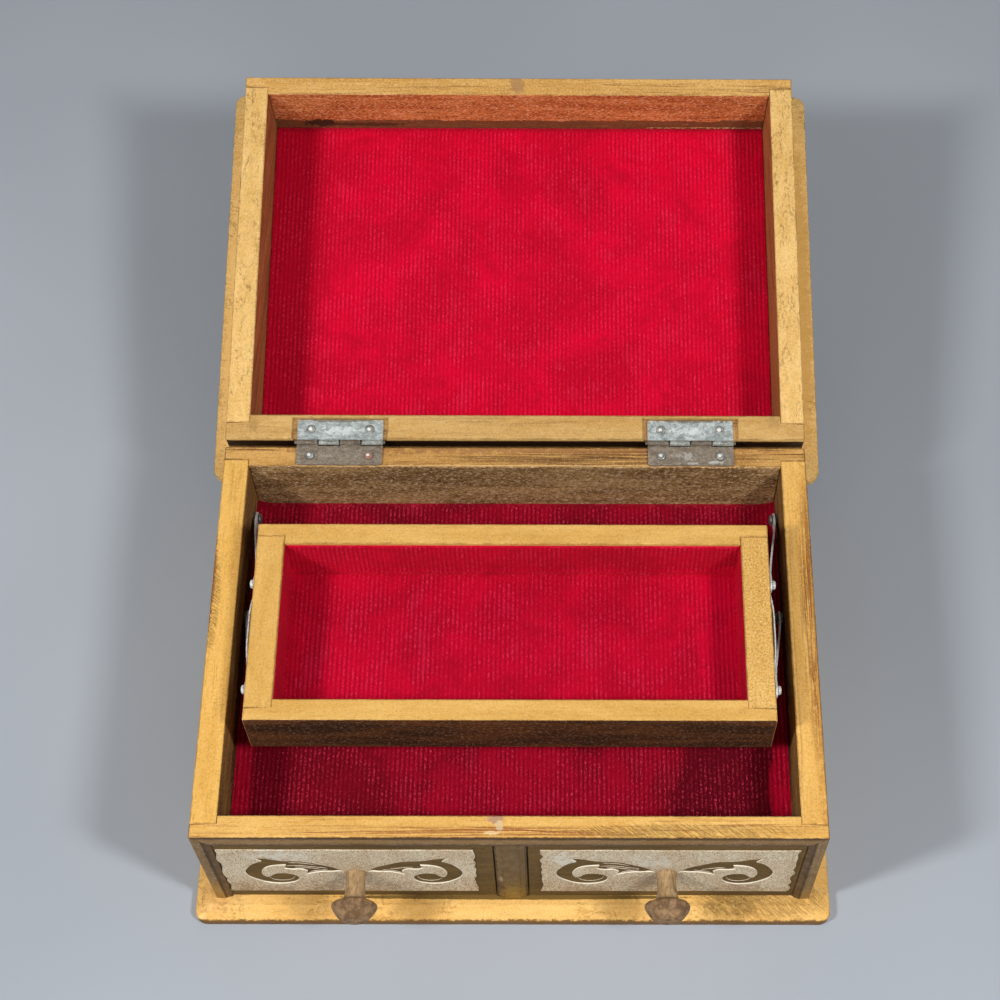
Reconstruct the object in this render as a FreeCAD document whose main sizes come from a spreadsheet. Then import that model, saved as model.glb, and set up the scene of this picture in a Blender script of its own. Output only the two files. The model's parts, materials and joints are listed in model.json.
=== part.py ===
import FreeCAD, Part
import Sketcher
import math
import os
import re
from FreeCAD import Placement, Rotation, Vector

# A wooden ring box: a moulded base board carries a case with a lined compartment above a bay for
# two drawers. Inside the compartment a lined tray hangs on four steel arms that lift it forwards and
# up. The lid turns on two butt hinges and rests, leaning far back, with its board against the case.
# The drawers are shut, the tray is up and the lid is open. +X is the right side, +Y the back, +Z up;
# the origin is the centre of the base board's underside. Lengths are millimetres, angles degrees.

doc = FreeCAD.newDocument("RingBox")
sheet = doc.addObject("Spreadsheet::Sheet", "Sizes")

SIZES = [
    # The case
    ("case_width", 203, "outside width of the case and of the lid's walls"),
    ("case_depth", 143, "outside depth of the case and of the lid's walls"),
    ("wall_height", 62, "case walls, from the base board to the rim"),
    ("side_thick", 8.8, "case side walls"),
    ("front_thick", 7.7, "front rail at the rim"),
    ("back_thick", 8, "back wall"),
    ("rabbet", 2.9, "depth of the end rabbets that house the side walls in the back wall"),
    ("nose_height", 7.7, "full-depth strip of the front rail above the drawers"),
    ("base_thick", 6.2, "base board"),
    ("base_over", 7.4, "base board beyond the case, all round"),
    ("base_bevel_run", 5.4, "width of the bevel on the base board's top edges"),
    ("base_bevel_drop", 2.5, "height of that bevel"),
    ("base_corner", 4, "corner radius of the base board"),
    ("base_bevel_corner", 1.5, "corner radius at the bevel's upper edge"),
    # The face of the case
    ("stile_face", 3.3, "flat front of a side stile"),
    ("stile_bevel", 2.4, "width of a stile's bevel towards the drawer"),
    ("stile_bevel_deep", 0.9, "depth of a stile's bevel"),
    ("centre_face", 5.7, "flat front of the centre stile"),
    ("face_recess", 1, "drawer fronts behind the face of the case"),
    ("panel_thick", 3.6, "drawer fronts"),
    ("panel_back_gap", 0.2, "air behind a shut drawer front"),
    ("panel_side_gap", 0.4, "air between a drawer front and the stiles"),
    ("panel_top_gap", 0.4, "air above a drawer front"),
    ("panel_foot_gap", 0.5, "air below a drawer front"),
    # The compartment
    ("bay_height", 31.3, "clear height of the bay for the drawers"),
    ("floor_thick", 3, "compartment floor"),
    ("floor_groove", 2, "depth of the grooves that hold that floor in the side walls"),
    ("pad_thick", 2, "lined pad on the compartment floor"),
    ("pad_gap", 0.4, "air between a lined pad and the walls round it"),
    # The drawers
    ("runner_gap", 0.3, "air under a drawer"),
    ("drawer_side_gap", 0.6, "air beside a drawer"),
    ("drawer_top_gap", 1, "air above a drawer"),
    ("drawer_length", 112, "drawer, from behind its front to its back"),
    ("drawer_wall", 5, "drawer sides, inner front and back"),
    ("drawer_floor", 2.5, "drawer bottom"),
    ("drawer_pad", 1.2, "lined pad in a drawer"),
    ("knob_drop", 4.2, "knob's axis below the top of its drawer box"),
    ("knob_shift", 1, "knob's axis outward from the middle of its drawer front"),
    ("post_radius", 3.4, "knob's post at the drawer front"),
    ("post_waist", 3.2, "knob's post at its middle"),
    ("post_flare", 4, "knob's post where it meets the head"),
    ("post_length", 10.3, "knob's post"),
    ("head_radius", 7.8, "knob's head at its widest"),
    ("head_rise", 1.3, "from the post to the widest place of the head"),
    ("head_length", 7.1, "knob's head"),
    ("tip_radius", 4.2, "knob's head at the start of its tip"),
    ("tip_round", 2.4, "rounding of the head's tip"),
    ("head_round", 1.2, "rounding of the head's widest edge"),
    ("knob_screw_radius", 1.2, "screw that holds a knob"),
    ("knob_screw_bite", 7, "length of that screw inside the knob"),
    ("knob_screw_head", 2.6, "radius of that screw's head"),
    ("knob_screw_rise", 1.4, "height of that screw's head"),
    # The lid
    ("lid_wall", 25.6, "height of the lid's walls"),
    ("lid_side", 8.5, "lid side walls"),
    ("lid_front", 7.1, "lid front wall"),
    ("lid_back", 9, "lid wall that carries the hinges"),
    ("lid_rabbet", 2.9, "depth of the end rabbets in the lid's front and back walls"),
    ("lid_gap", 0.3, "air between the rims when the lid is shut"),
    ("lid_board", 6.5, "thickness of the lid's board"),
    ("lid_over_side", 7.8, "lid board beyond the lid's side walls"),
    ("lid_over_front", 6.8, "lid board beyond the lid's front wall"),
    ("lid_over_back", 6.6, "lid board beyond the lid's back wall"),
    ("lid_bevel_run", 5.2, "width of the bevel on the lid board's outer edges"),
    ("lid_bevel_drop", 2.5, "height of that bevel"),
    ("lid_corner", 4, "corner radius of the lid board"),
    ("lid_bevel_corner", 1.5, "corner radius at the bevel's upper edge"),
    ("lid_pad", 1.2, "lined pad in the lid"),
    ("stop_gap", 0.15, "air left between the open lid's board and the back of the case"),
    # The butt hinges
    ("hinge_inset", 40.1, "middle of a hinge from the outside of the case"),
    ("hinge_length", 30, "hinge leaf along its pin"),
    ("leaf_width", 7.5, "hinge leaf on the rim, from the back edge"),
    ("leaf_thick", 0.7, "hinge leaf"),
    ("leaf_corner", 0.8, "corner radius of a hinge leaf"),
    ("leaf_gap", 0.2, "air between the nail heads of a folded hinge"),
    ("knuckle_radius", 1, "outside radius of a knuckle"),
    ("knuckle_space", 0.15, "air round a knuckle and between knuckles"),
    ("pin_radius", 0.6, "hinge pin"),
    ("pin_play", 0.05, "air round the pin in the lid's knuckles"),
    ("pin_beyond", 0.8, "hinge pin past each end knuckle"),
    ("pin_setback", 1.1, "hinge pin behind the case"),
    ("notch_space", 0.7, "air at each end of a leaf in the lid's notch"),
    ("notch_play", 0.2, "air between a leaf's long edge and its notch"),
    ("nail_place", 10.3, "nail from the middle of its leaf"),
    ("nail_setback", 3.8, "nail from the back edge of the rim"),
    ("nail_radius", 0.6, "nail's shank"),
    ("nail_head_radius", 1.5, "nail's head"),
    ("nail_head", 0.4, "height of a nail's head"),
    ("nail_length", 6, "nail's shank under its head"),
    # The tray
    ("tray_room", 7.3, "room between a side wall and the tray's end"),
    ("tray_depth", 71, "tray"),
    ("tray_height", 22.5, "tray"),
    ("tray_end", 9.2, "tray's short walls"),
    ("tray_rail", 7.5, "tray's long walls"),
    ("tray_rabbet", 3, "depth of the end rabbets in the tray's long walls"),
    ("tray_floor", 2.5, "tray's bottom"),
    ("tray_pad", 1.5, "lined pad in the tray"),
    ("tray_skin", 0.6, "lining on the tray's inner walls"),
    ("skin_drop", 1.2, "top edge of that lining below the tray's top"),
    # The tray's arms
    ("arm_length", 40, "between an arm's two pivots"),
    ("arm_lift", 28.5, "angle of the arms above level"),
    ("arm_width", 5, "arm"),
    ("arm_thick", 1, "arm"),
    ("arm_pivot_room", 10.5, "rear arm's pivot in the case, in front of the back wall"),
    ("arm_pivot_rise", 6.7, "arm pivots in the case, above the lining under the tray"),
    ("tray_pivot_in", 16.25, "arm pivots on the tray, from its front and from its back"),
    ("tray_pivot_rise", 9.5, "arm pivots on the tray, above the tray's foot"),
    ("bar_thick", 1, "steel bar on the tray's end"),
    ("bar_width", 5, "steel bar on the tray's end"),
    ("arm_play", 0.1, "air between an arm and the bar it swings beside"),
    ("wall_stand", 0.8, "shoulder between an arm and the side wall"),
    ("joggle_start", 9, "straight end of an arm beyond each pivot"),
    ("joggle_length", 12, "slanted middle of an arm"),
    ("pivot_radius", 1.2, "shank of a rivet or screw in an arm"),
    ("pivot_play", 0.05, "air round that shank"),
    ("free_play", 0.2, "air round the front rivets, which only steady the tray"),
    ("rivet_head_radius", 1.9, "rivet's head"),
    ("rivet_head", 1, "height of a rivet's head"),
    ("rivet_bite", 5, "rivet inside the tray's wall"),
    ("shoulder_radius", 2.2, "shoulder of an arm's screw"),
    ("screw_bite", 5.5, "arm's screw inside the side wall"),
]

# Places and sizes that follow from the sheet, each a formula.
PLACES = {
    "half_width": "case_width / 2",
    "front_y": "-case_depth / 2",
    "back_y": "case_depth / 2",
    "rim_z": "base_thick + wall_height",
    "inner_x": "half_width - side_thick",
    "inner_front_y": "front_y + front_thick",
    "inner_back_y": "back_y - back_thick",
    "floor_under": "base_thick + bay_height",
    "floor_top": "floor_under + floor_thick",
    "pad_top": "floor_top + pad_thick",
    "nose_under": "rim_z - nose_height",
    "stile_width": "stile_face + stile_bevel",
    "stile_inner_x": "half_width - stile_width",
    "face_layer": "face_recess + panel_thick + panel_back_gap",
    "web_y": "front_y + face_layer",
    "centre_half": "centre_face / 2 + stile_bevel",
    # drawers
    "panel_low_x": "centre_half + panel_side_gap",
    "panel_wide": "stile_inner_x - panel_side_gap - panel_low_x",
    "panel_y": "front_y + face_recess",
    "panel_foot": "base_thick + panel_foot_gap",
    "panel_high": "nose_under - panel_top_gap - panel_foot",
    "box_y": "panel_y + panel_thick",
    "box_low_x": "centre_half + drawer_side_gap",
    "box_wide": "inner_x - drawer_side_gap - box_low_x",
    "box_foot": "base_thick + runner_gap",
    "box_high": "floor_under - drawer_top_gap - box_foot",
    "box_inner_y": "box_y + drawer_wall",
    "box_inner_long": "drawer_length - 2 * drawer_wall",
    "box_floor_top": "box_foot + drawer_floor",
    "knob_x": "panel_low_x + panel_wide / 2 + knob_shift",
    "knob_z": "box_foot + box_high - knob_drop",
    # hinges and lid; a lid piece is drawn shut, with the hinge pin as its origin
    "hinge_place": "half_width - hinge_inset",
    "pin_rise": "leaf_thick + nail_head + leaf_gap / 2",
    "pin_y": "back_y + pin_setback",
    "pin_z": "rim_z + pin_rise",
    "lid_back_y": "-pin_setback",
    "lid_front_y": "-pin_setback - case_depth",
    "lid_low": "lid_gap - pin_rise",
    "lid_high": "lid_low + lid_wall",
    "lid_inner_x": "half_width - lid_side",
    "lid_inner_back": "lid_back_y - lid_back",
    "lid_inner_front": "lid_front_y + lid_front",
    "over_reach": "lid_over_back - pin_setback",
    "over_radius": "hypot(over_reach; lid_high)",
    "over_angle": "atan2(lid_high; over_reach)",
    "lid_open": "180 deg - (acos((pin_setback - stop_gap) / over_radius) - over_angle)",
    "leaf_reach": "leaf_width + pin_setback",
    "nail_reach": "nail_setback + pin_setback",
    "plate_edge": "knuckle_radius + knuckle_space",
    "knuckle_pitch": "hinge_length / 4",
    "leaf_seat": "nail_head + leaf_gap / 2",
    # arms and tray
    "arm_spacing": "tray_depth - 2 * tray_pivot_in",
    "arm_run": "arm_length * cos(arm_lift)",
    "arm_rise": "arm_length * sin(arm_lift)",
    "case_pivot_y": "inner_back_y - arm_pivot_room - arm_spacing",
    "case_pivot_z": "pad_top + arm_pivot_rise",
    "tray_pivot_y": "case_pivot_y - arm_run",
    "tray_pivot_z": "case_pivot_z + arm_rise",
    "tray_half": "inner_x - tray_room",
    "tray_face_y": "tray_pivot_y - tray_pivot_in",
    "tray_back_y": "tray_face_y + tray_depth",
    "tray_foot": "tray_pivot_z - tray_pivot_rise",
    "tray_top": "tray_foot + tray_height",
    "tray_inner_x": "tray_half - tray_end",
    "tray_inner_front": "tray_face_y + tray_rail",
    "tray_inner_back": "tray_back_y - tray_rail",
    "tray_floor_top": "tray_foot + tray_floor",
    "bar_x": "tray_half + bar_thick",
    "arm_upper_x": "bar_x + arm_play",
    "arm_lower_x": "inner_x - wall_stand - arm_thick",
}

SIZE_NAMES = {alias for alias, size, note in SIZES}
WORD = re.compile(r"[a-z]+(?:_[a-z]+)*")


def spelled(text):
    """Write a formula in sheet cells: every named place becomes its own formula."""
    grown = WORD.sub(lambda m: f"({PLACES[m.group()]})" if m.group() in PLACES else m.group(), text)
    return grown if grown == text else spelled(grown)


def formula(text):
    """The formula as FreeCAD reads it."""
    return WORD.sub(lambda m: "Sizes." + m.group() if m.group() in SIZE_NAMES else m.group(), spelled(text))


def value(text):
    """The formula's number."""
    result = sheet.evalExpression(formula(text))
    return getattr(result, "Value", result)


def fill_sheet():
    for row, (alias, size, note) in enumerate(SIZES, 1):
        sheet.set(f"A{row}", alias)
        sheet.set(f"B{row}", str(size))
        sheet.setAlias(f"B{row}", alias)
        sheet.set(f"C{row}", note)
    doc.recompute()


# Placing and boolean helpers

TURNED_TO = {
    "+Z": Rotation(),
    "-Z": Rotation(Vector(1, 0, 0), 180),
    "+X": Rotation(Vector(0, 1, 0), 90),
    "-X": Rotation(Vector(0, 1, 0), -90),
    "+Y": Rotation(Vector(1, 0, 0), -90),
    "-Y": Rotation(Vector(1, 0, 0), 90),
}


def place(item, x, y, z, way="+Z"):
    """Put an object's origin at a place, with its own Z axis turned to the way given."""
    item.Placement = Placement(Vector(value(x), value(y), value(z)), TURNED_TO[way])
    for axis, text in zip("xyz", (x, y, z)):
        item.setExpression("Placement.Base." + axis, formula(text))
    return item


def tilt(item, y, z, angle):
    """Put an object's origin at a place and turn it by an angle about the X axis."""
    place(item, "0", y, z)
    item.Placement = Placement(item.Placement.Base, Rotation(Vector(1, 0, 0), value(angle)))
    item.setExpression("Placement.Rotation.Angle", formula(angle))
    return item


def block(name, x, y, z):
    """A box between two formulas on each axis."""
    solid = doc.addObject("Part::Box", name)
    for side, (low, high) in zip(("Length", "Width", "Height"), (x, y, z)):
        solid.setExpression(side, formula(f"({high}) - ({low})"))
    return place(solid, x[0], y[0], z[0])


def across(side, low, high):
    """The span between two distances from the middle, on the right (1) or the left (-1)."""
    return (low, high) if side > 0 else (f"-({high})", f"-({low})")


def rod(name, radius, length, x, y, z, way):
    solid = doc.addObject("Part::Cylinder", name)
    solid.setExpression("Radius", formula(radius))
    solid.setExpression("Height", formula(length))
    return place(solid, x, y, z, way)


def cut(name, base, tools):
    tool = tools[0]
    if len(tools) > 1:
        tool = doc.addObject("Part::Compound", name + "_tools")
        tool.Links = tools
    result = doc.addObject("Part::Cut", name)
    result.Base = base
    result.Tool = tool
    return result


def fuse(name, parts):
    result = doc.addObject("Part::MultiFuse", name)
    result.Shapes = parts
    return result


def group(name, parts):
    result = doc.addObject("Part::Compound", name)
    result.Links = parts
    return result


# Sketch and body helpers

def new_body(name):
    return doc.addObject("PartDesign::Body", name)


def new_sketch(body, name, role, offset="0"):
    """An empty sketch on one of the body's own planes, moved along that plane's normal."""
    sketch = body.newObject("Sketcher::SketchObject", name)
    plane = [item for item in body.Origin.OriginFeatures if item.Role == role][0]
    sketch.AttachmentSupport = (plane, "")
    sketch.MapMode = "FlatFace"
    sketch.setExpression("AttachmentOffset.Base.z", formula(offset))
    return sketch


def pin_down(sketch, item, end, x, y):
    """Fix one end of a line or arc at a place given by two formulas."""
    for kind, text in (("DistanceX", x), ("DistanceY", y)):
        if text is None:
            continue
        constraint = sketch.addConstraint(Sketcher.Constraint(kind, item, end, value(text)))
        sketch.setExpression(f"Constraints[{constraint}]", formula(text))


def polygon(sketch, points):
    """A closed outline of straight lines through points, each two formulas."""
    places = [Vector(value(x), value(y), 0) for x, y in points]
    count = len(points)
    for number in range(count):
        sketch.addGeometry(Part.LineSegment(places[number], places[(number + 1) % count]))
    for number in range(count):
        sketch.addConstraint(Sketcher.Constraint("Coincident", number, 2, (number + 1) % count, 1))
    for number, (x, y) in enumerate(points):
        pin_down(sketch, number, 1, x, y)


def rounded_rectangle(sketch, x, y, radius):
    """A rectangle between two formulas on each axis, with round corners."""
    x_low, x_high = (value(text) for text in x)
    y_low, y_high = (value(text) for text in y)
    r = value(radius)
    corners = [
        (Vector(x_low + r, y_low, 0), Vector(x_high - r, y_low, 0), Vector(x_high - r, y_low + r, 0)),
        (Vector(x_high, y_low + r, 0), Vector(x_high, y_high - r, 0), Vector(x_high - r, y_high - r, 0)),
        (Vector(x_high - r, y_high, 0), Vector(x_low + r, y_high, 0), Vector(x_low + r, y_high - r, 0)),
        (Vector(x_low, y_high - r, 0), Vector(x_low, y_low + r, 0), Vector(x_low + r, y_low + r, 0)),
    ]
    for number, (start, end, centre) in enumerate(corners):
        turn = math.radians(90 * number - 90)
        sketch.addGeometry(Part.LineSegment(start, end))
        circle = Part.Circle(centre, Vector(0, 0, 1), r)
        sketch.addGeometry(Part.ArcOfCircle(circle, turn, turn + math.pi / 2))
    for number in range(8):
        sketch.addConstraint(Sketcher.Constraint("Tangent", number, 2, (number + 1) % 8, 1))
    for number, kind in ((0, "Horizontal"), (2, "Vertical"), (4, "Horizontal"), (6, "Vertical")):
        sketch.addConstraint(Sketcher.Constraint(kind, number))
    for number in (3, 5, 7):
        sketch.addConstraint(Sketcher.Constraint("Equal", 1, number))
    size = sketch.addConstraint(Sketcher.Constraint("Radius", 1, r))
    sketch.setExpression(f"Constraints[{size}]", formula(radius))
    pin_down(sketch, 0, 1, None, y[0])
    pin_down(sketch, 2, 1, x[1], None)
    pin_down(sketch, 4, 1, None, y[1])
    pin_down(sketch, 6, 1, x[0], None)


def circle(sketch, x, y, radius):
    number = sketch.addGeometry(Part.Circle(Vector(value(x), value(y), 0), Vector(0, 0, 1), value(radius)))
    pin_down(sketch, number, 3, x, y)
    size = sketch.addConstraint(Sketcher.Constraint("Radius", number, value(radius)))
    sketch.setExpression(f"Constraints[{size}]", formula(radius))


def pad(body, name, sketch, length, backwards=False):
    feature = body.newObject("PartDesign::Pad", name)
    feature.Profile = sketch
    feature.Reversed = backwards
    feature.setExpression("Length", formula(length))
    return feature


def pocket(body, name, sketch):
    """Cut a sketch's outline right through the body, both ways."""
    feature = body.newObject("PartDesign::Pocket", name)
    feature.Profile = sketch
    feature.Type = "ThroughAll"
    feature.Midplane = True
    doc.recompute()
    before = feature.BaseFeature.Shape.Volume
    if not feature.Shape.Volume < before:
        raise RuntimeError(f"{name} cuts nothing")
    return feature


def round_off(body, name, radius, chosen):
    """Round the edges of the body's last feature that a test picks out."""
    doc.recompute()
    base = body.Tip
    edges = [f"Edge{n}" for n, edge in enumerate(base.Shape.Edges, 1) if chosen(edge)]
    if not edges:
        raise RuntimeError(f"{name} finds no edge")
    feature = body.newObject("PartDesign::Fillet", name)
    feature.Base = (base, edges)
    feature.setExpression("Radius", formula(radius))
    return feature


def near(number, text, slack=0.02):
    return abs(number - value(text)) < slack


def ring_at(height, radius):
    """A test for the circular edge of a turned piece at a height and radius."""
    def chosen(edge):
        curve = edge.Curve
        return hasattr(curve, "Radius") and near(curve.Radius, radius) and near(edge.CenterOfMass.z, height)
    return chosen


def turned(name, points, roundings=()):
    """A body turned about its own Z axis from an outline of radius and height."""
    body = new_body(name)
    sketch = new_sketch(body, name + "_outline", "XZ_Plane")
    polygon(sketch, points)
    feature = body.newObject("PartDesign::Revolution", name + "_turn")
    feature.Profile = sketch
    feature.ReferenceAxis = (sketch, ["V_Axis"])
    feature.Angle = 360
    for number, (height, radius, size) in enumerate(roundings, 1):
        round_off(body, f"{name}_round_{number}", size, ring_at(height, radius))
    return body


def bevelled_board(name, foot, edge, rise, x, y, corner, run, top_corner):
    """A board with an upright edge under a bevel, both with round corners."""
    body = new_body(name)
    lower = new_sketch(body, name + "_lower", "XY_Plane", foot)
    rounded_rectangle(lower, x, y, corner)
    pad(body, name + "_slab", lower, edge)
    outline = new_sketch(body, name + "_bevel_foot", "XY_Plane", f"{foot} + {edge}")
    rounded_rectangle(outline, x, y, corner)
    top = new_sketch(body, name + "_bevel_top", "XY_Plane", f"{foot} + {edge} + {rise}")
    x_in = (f"{x[0]} + {run}", f"{x[1]} - {run}")
    y_in = (f"{y[0]} + {run}", f"{y[1]} - {run}")
    rounded_rectangle(top, x_in, y_in, top_corner)
    loft = body.newObject("PartDesign::AdditiveLoft", name + "_bevel")
    loft.Profile = outline
    loft.Sections = [top]
    loft.Ruled = True
    return body


SIDES = (("left", -1), ("right", 1))
ARM_PAIRS = (("front", "0"), ("rear", "arm_spacing"))
nodes = {}


def inward(sign):
    """The way towards the middle from the right (1) or the left (-1)."""
    return "-X" if sign > 0 else "+X"


# The case

def base_board():
    x = ("-half_width - base_over", "half_width + base_over")
    y = ("front_y - base_over", "back_y + base_over")
    nodes["base_board"] = bevelled_board(
        "base_board", "0", "(base_thick - base_bevel_drop)", "base_bevel_drop", x, y,
        "base_corner", "base_bevel_run", "base_bevel_corner")


def side_walls():
    """Each wall is grooved for the floor and drilled for the arms' screws."""
    for side, sign in SIDES:
        wall = block(f"side_{side}_board", across(sign, "inner_x", "half_width"),
                     ("web_y", "inner_back_y + rabbet"), ("base_thick", "rim_z"))
        groove = block(f"side_{side}_groove", across(sign, "inner_x", "inner_x + floor_groove"),
                       ("inner_front_y", "inner_back_y"), ("floor_under", "floor_top"))
        holes = [rod(f"side_{side}_hole_{name}", "pivot_radius", "screw_bite",
                     f"{sign} * (inner_x)", f"case_pivot_y + {back}", "case_pivot_z", inward(-sign))
                 for name, back in ARM_PAIRS]
        nodes[f"side_wall_{side}"] = cut(f"side_wall_{side}", wall, [groove, *holes])


def nail_holes(name, top, way, depth):
    """Holes for the nails of both hinges, at a height and through the depth given."""
    return [rod(f"{name}_{side}_{number}", "nail_radius", depth,
                f"{sign} * hinge_place + {end} * nail_place", "back_y - nail_setback", top, way)
            for side, sign in SIDES for number, end in enumerate((-1, 1), 1)]


def back_wall():
    """The back wall runs the full width and houses the side walls in its ends."""
    wall = block("back_board", ("-half_width", "half_width"), ("inner_back_y", "back_y"),
                 ("base_thick", "rim_z"))
    rabbets = [block(f"back_rabbet_{side}", across(sign, "inner_x", "half_width"),
                     ("inner_back_y", "inner_back_y + rabbet"), ("base_thick", "rim_z"))
               for side, sign in SIDES]
    holes = nail_holes("back_nail_hole", "rim_z", "-Z", "nail_length - leaf_thick")
    nodes["back_wall"] = cut("back_wall", wall, rabbets + holes)


def front_rail():
    """A mitred strip above the drawers, with the compartment's thin front wall behind them."""
    body = new_body("front_rail")
    strip = new_sketch(body, "front_strip", "XZ_Plane", "-front_y")
    polygon(strip, [("-half_width", "rim_z"), ("half_width", "rim_z"),
                    ("stile_inner_x", "nose_under"), ("-stile_inner_x", "nose_under")])
    pad(body, "front_strip_pad", strip, "face_layer", backwards=True)
    web = new_sketch(body, "front_web", "XZ_Plane", "-web_y")
    polygon(web, [("-inner_x", "rim_z"), ("-inner_x", "floor_under"),
                  ("inner_x", "floor_under"), ("inner_x", "rim_z")])
    pad(body, "front_web_pad", web, "front_thick - face_layer", backwards=True)
    nodes["front_rail"] = body


def side_stiles():
    """Stiles with a flat front and a bevel towards the drawer, mitred under the front rail."""
    for side, sign in SIDES:
        body = new_body(f"stile_{side}")
        section = new_sketch(body, f"stile_{side}_section", "XY_Plane", "base_thick")
        polygon(section, [(f"{sign} * ({x})", y) for x, y in (
            ("half_width", "front_y"), ("half_width - stile_face", "front_y"),
            ("stile_inner_x", "front_y + stile_bevel_deep"), ("stile_inner_x", "web_y"),
            ("half_width", "web_y"))])
        pad(body, f"stile_{side}_pad", section, "wall_height")
        mitre = new_sketch(body, f"stile_{side}_mitre", "XZ_Plane")
        polygon(mitre, [(f"{sign} * ({x})", z) for x, z in (
            ("half_width", "rim_z"), ("stile_inner_x", "rim_z"), ("stile_inner_x", "nose_under"))])
        pocket(body, f"stile_{side}_cut", mitre)
        nodes[f"stile_{side}"] = body


def centre_stile():
    body = new_body("centre_stile")
    section = new_sketch(body, "centre_stile_section", "XY_Plane", "base_thick")
    polygon(section, [("-centre_face / 2", "front_y"), ("centre_face / 2", "front_y"),
                      ("centre_half", "front_y + stile_bevel_deep"), ("centre_half", "web_y"),
                      ("-centre_half", "web_y"), ("-centre_half", "front_y + stile_bevel_deep")])
    pad(body, "centre_stile_pad", section, "wall_height - nose_height")
    nodes["centre_stile"] = body


def bay_divider():
    nodes["bay_divider"] = block("bay_divider", ("-centre_half", "centre_half"),
                                 ("web_y", "inner_back_y"), ("base_thick", "floor_under"))


def compartment():
    nodes["compartment_floor"] = block(
        "compartment_floor", ("-inner_x - floor_groove", "inner_x + floor_groove"),
        ("inner_front_y", "inner_back_y"), ("floor_under", "floor_top"))
    nodes["compartment_pad"] = block(
        "compartment_pad", ("-inner_x + pad_gap", "inner_x - pad_gap"),
        ("inner_front_y + pad_gap", "inner_back_y - pad_gap"), ("floor_top", "pad_top"))


# The butt hinges

def leaf(name, sign, seat, way):
    """A leaf with its own two knuckles, drawn from the pin; way is -1 for the leaf under the pin."""
    middle = f"({sign} * hinge_place)"
    low, high = (seat, f"{seat} + leaf_thick") if way > 0 else (f"-({seat}) - leaf_thick", f"-({seat})")
    body = new_body(name + "_plate")
    sketch = new_sketch(body, name + "_outline", "XY_Plane", low)
    x_low, x_high = f"{middle} - hinge_length / 2", f"{middle} + hinge_length / 2"
    polygon(sketch, [(x_low, "-plate_edge"), (x_low, "-leaf_reach"),
                     (x_high, "-leaf_reach"), (x_high, "-plate_edge")])
    pad(body, name + "_pad", sketch, "leaf_thick")
    round_off(body, name + "_corners", "leaf_corner",
              lambda edge: near(edge.CenterOfMass.y, "-leaf_reach") and near(edge.Length, "leaf_thick"))
    pieces = [body]
    own = (0, 2) if way < 0 else (1, 3)
    for number in own:
        start = f"{x_low} + {number} * knuckle_pitch"
        gap_low = "0" if number == 0 else "knuckle_space / 2"
        gap_high = "0" if number == 3 else "knuckle_space / 2"
        span = (f"{start} + {gap_low}", f"{start} + knuckle_pitch - {gap_high}")
        pieces.append(block(f"{name}_tab_{number}", span, ("-plate_edge", "0"), (low, high)))
        pieces.append(rod(f"{name}_knuckle_{number}", "knuckle_radius",
                          f"knuckle_pitch - {gap_low} - {gap_high}", span[0], "0", "0", "+X"))
    bore_radius = "pin_radius" if way < 0 else "pin_radius + pin_play"
    holes = [rod(f"{name}_bore", bore_radius, "hinge_length", x_low, "0", "0", "+X")]
    for number, end in enumerate((-1, 1), 1):
        holes.append(rod(f"{name}_nail_hole_{number}", "nail_radius", "leaf_thick",
                         f"{middle} + {end} * nail_place", "-nail_reach", low, "+Z"))
    return cut(name, fuse(name + "_solid", pieces), holes)


def hinges():
    for side, sign in SIDES:
        lower = leaf(f"case_leaf_{side}", sign, "leaf_seat", -1)
        nodes[f"case_leaf_{side}"] = place(lower, "0", "pin_y", "pin_z")
        upper = leaf(f"lid_leaf_{side}", sign, "leaf_seat", 1)
        nodes[f"lid_leaf_{side}"] = tilt(upper, "pin_y", "pin_z", "-lid_open")
        start = f"{sign} * hinge_place - hinge_length / 2 - pin_beyond"
        nodes[f"hinge_pin_{side}"] = rod(f"hinge_pin_{side}", "pin_radius", "hinge_length + 2 * pin_beyond",
                                         start, "pin_y", "pin_z", "+X")


def nail(name):
    """A nail with its head on top, drawn from under its head."""
    return turned(name, [("0", "-nail_length"), ("nail_radius", "-nail_length"), ("nail_radius", "0"),
                         ("nail_head_radius", "0"), ("nail_head_radius", "nail_head"), ("0", "nail_head")],
                  [("nail_head", "nail_head_radius", "0.7 * nail_head")])


def hinge_nails():
    """Two nails in each leaf: those in the case point down, those in the lid up into its wall."""
    for owner, y, z, way in (("case", "pin_y - nail_reach", "pin_z - leaf_seat", "+Z"),
                             ("lid", "-nail_reach", "leaf_seat", "-Z")):
        nails = []
        for side, sign in SIDES:
            for number, end in enumerate((-1, 1), 1):
                item = nail(f"{owner}_nail_{side}_{number}")
                nails.append(place(item, f"{sign} * hinge_place + {end} * nail_place", y, z, way))
        nodes[f"{owner}_leaf_nails"] = group(f"{owner}_leaf_nails", nails)
    tilt(nodes["lid_leaf_nails"], "pin_y", "pin_z", "-lid_open")


# The lid, drawn shut with the hinge pin as its origin

def lid_rabbets(name, y):
    return [block(f"{name}_rabbet_{side}", across(sign, "lid_inner_x", "half_width"), y,
                  ("lid_low", "lid_high")) for side, sign in SIDES]


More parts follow.
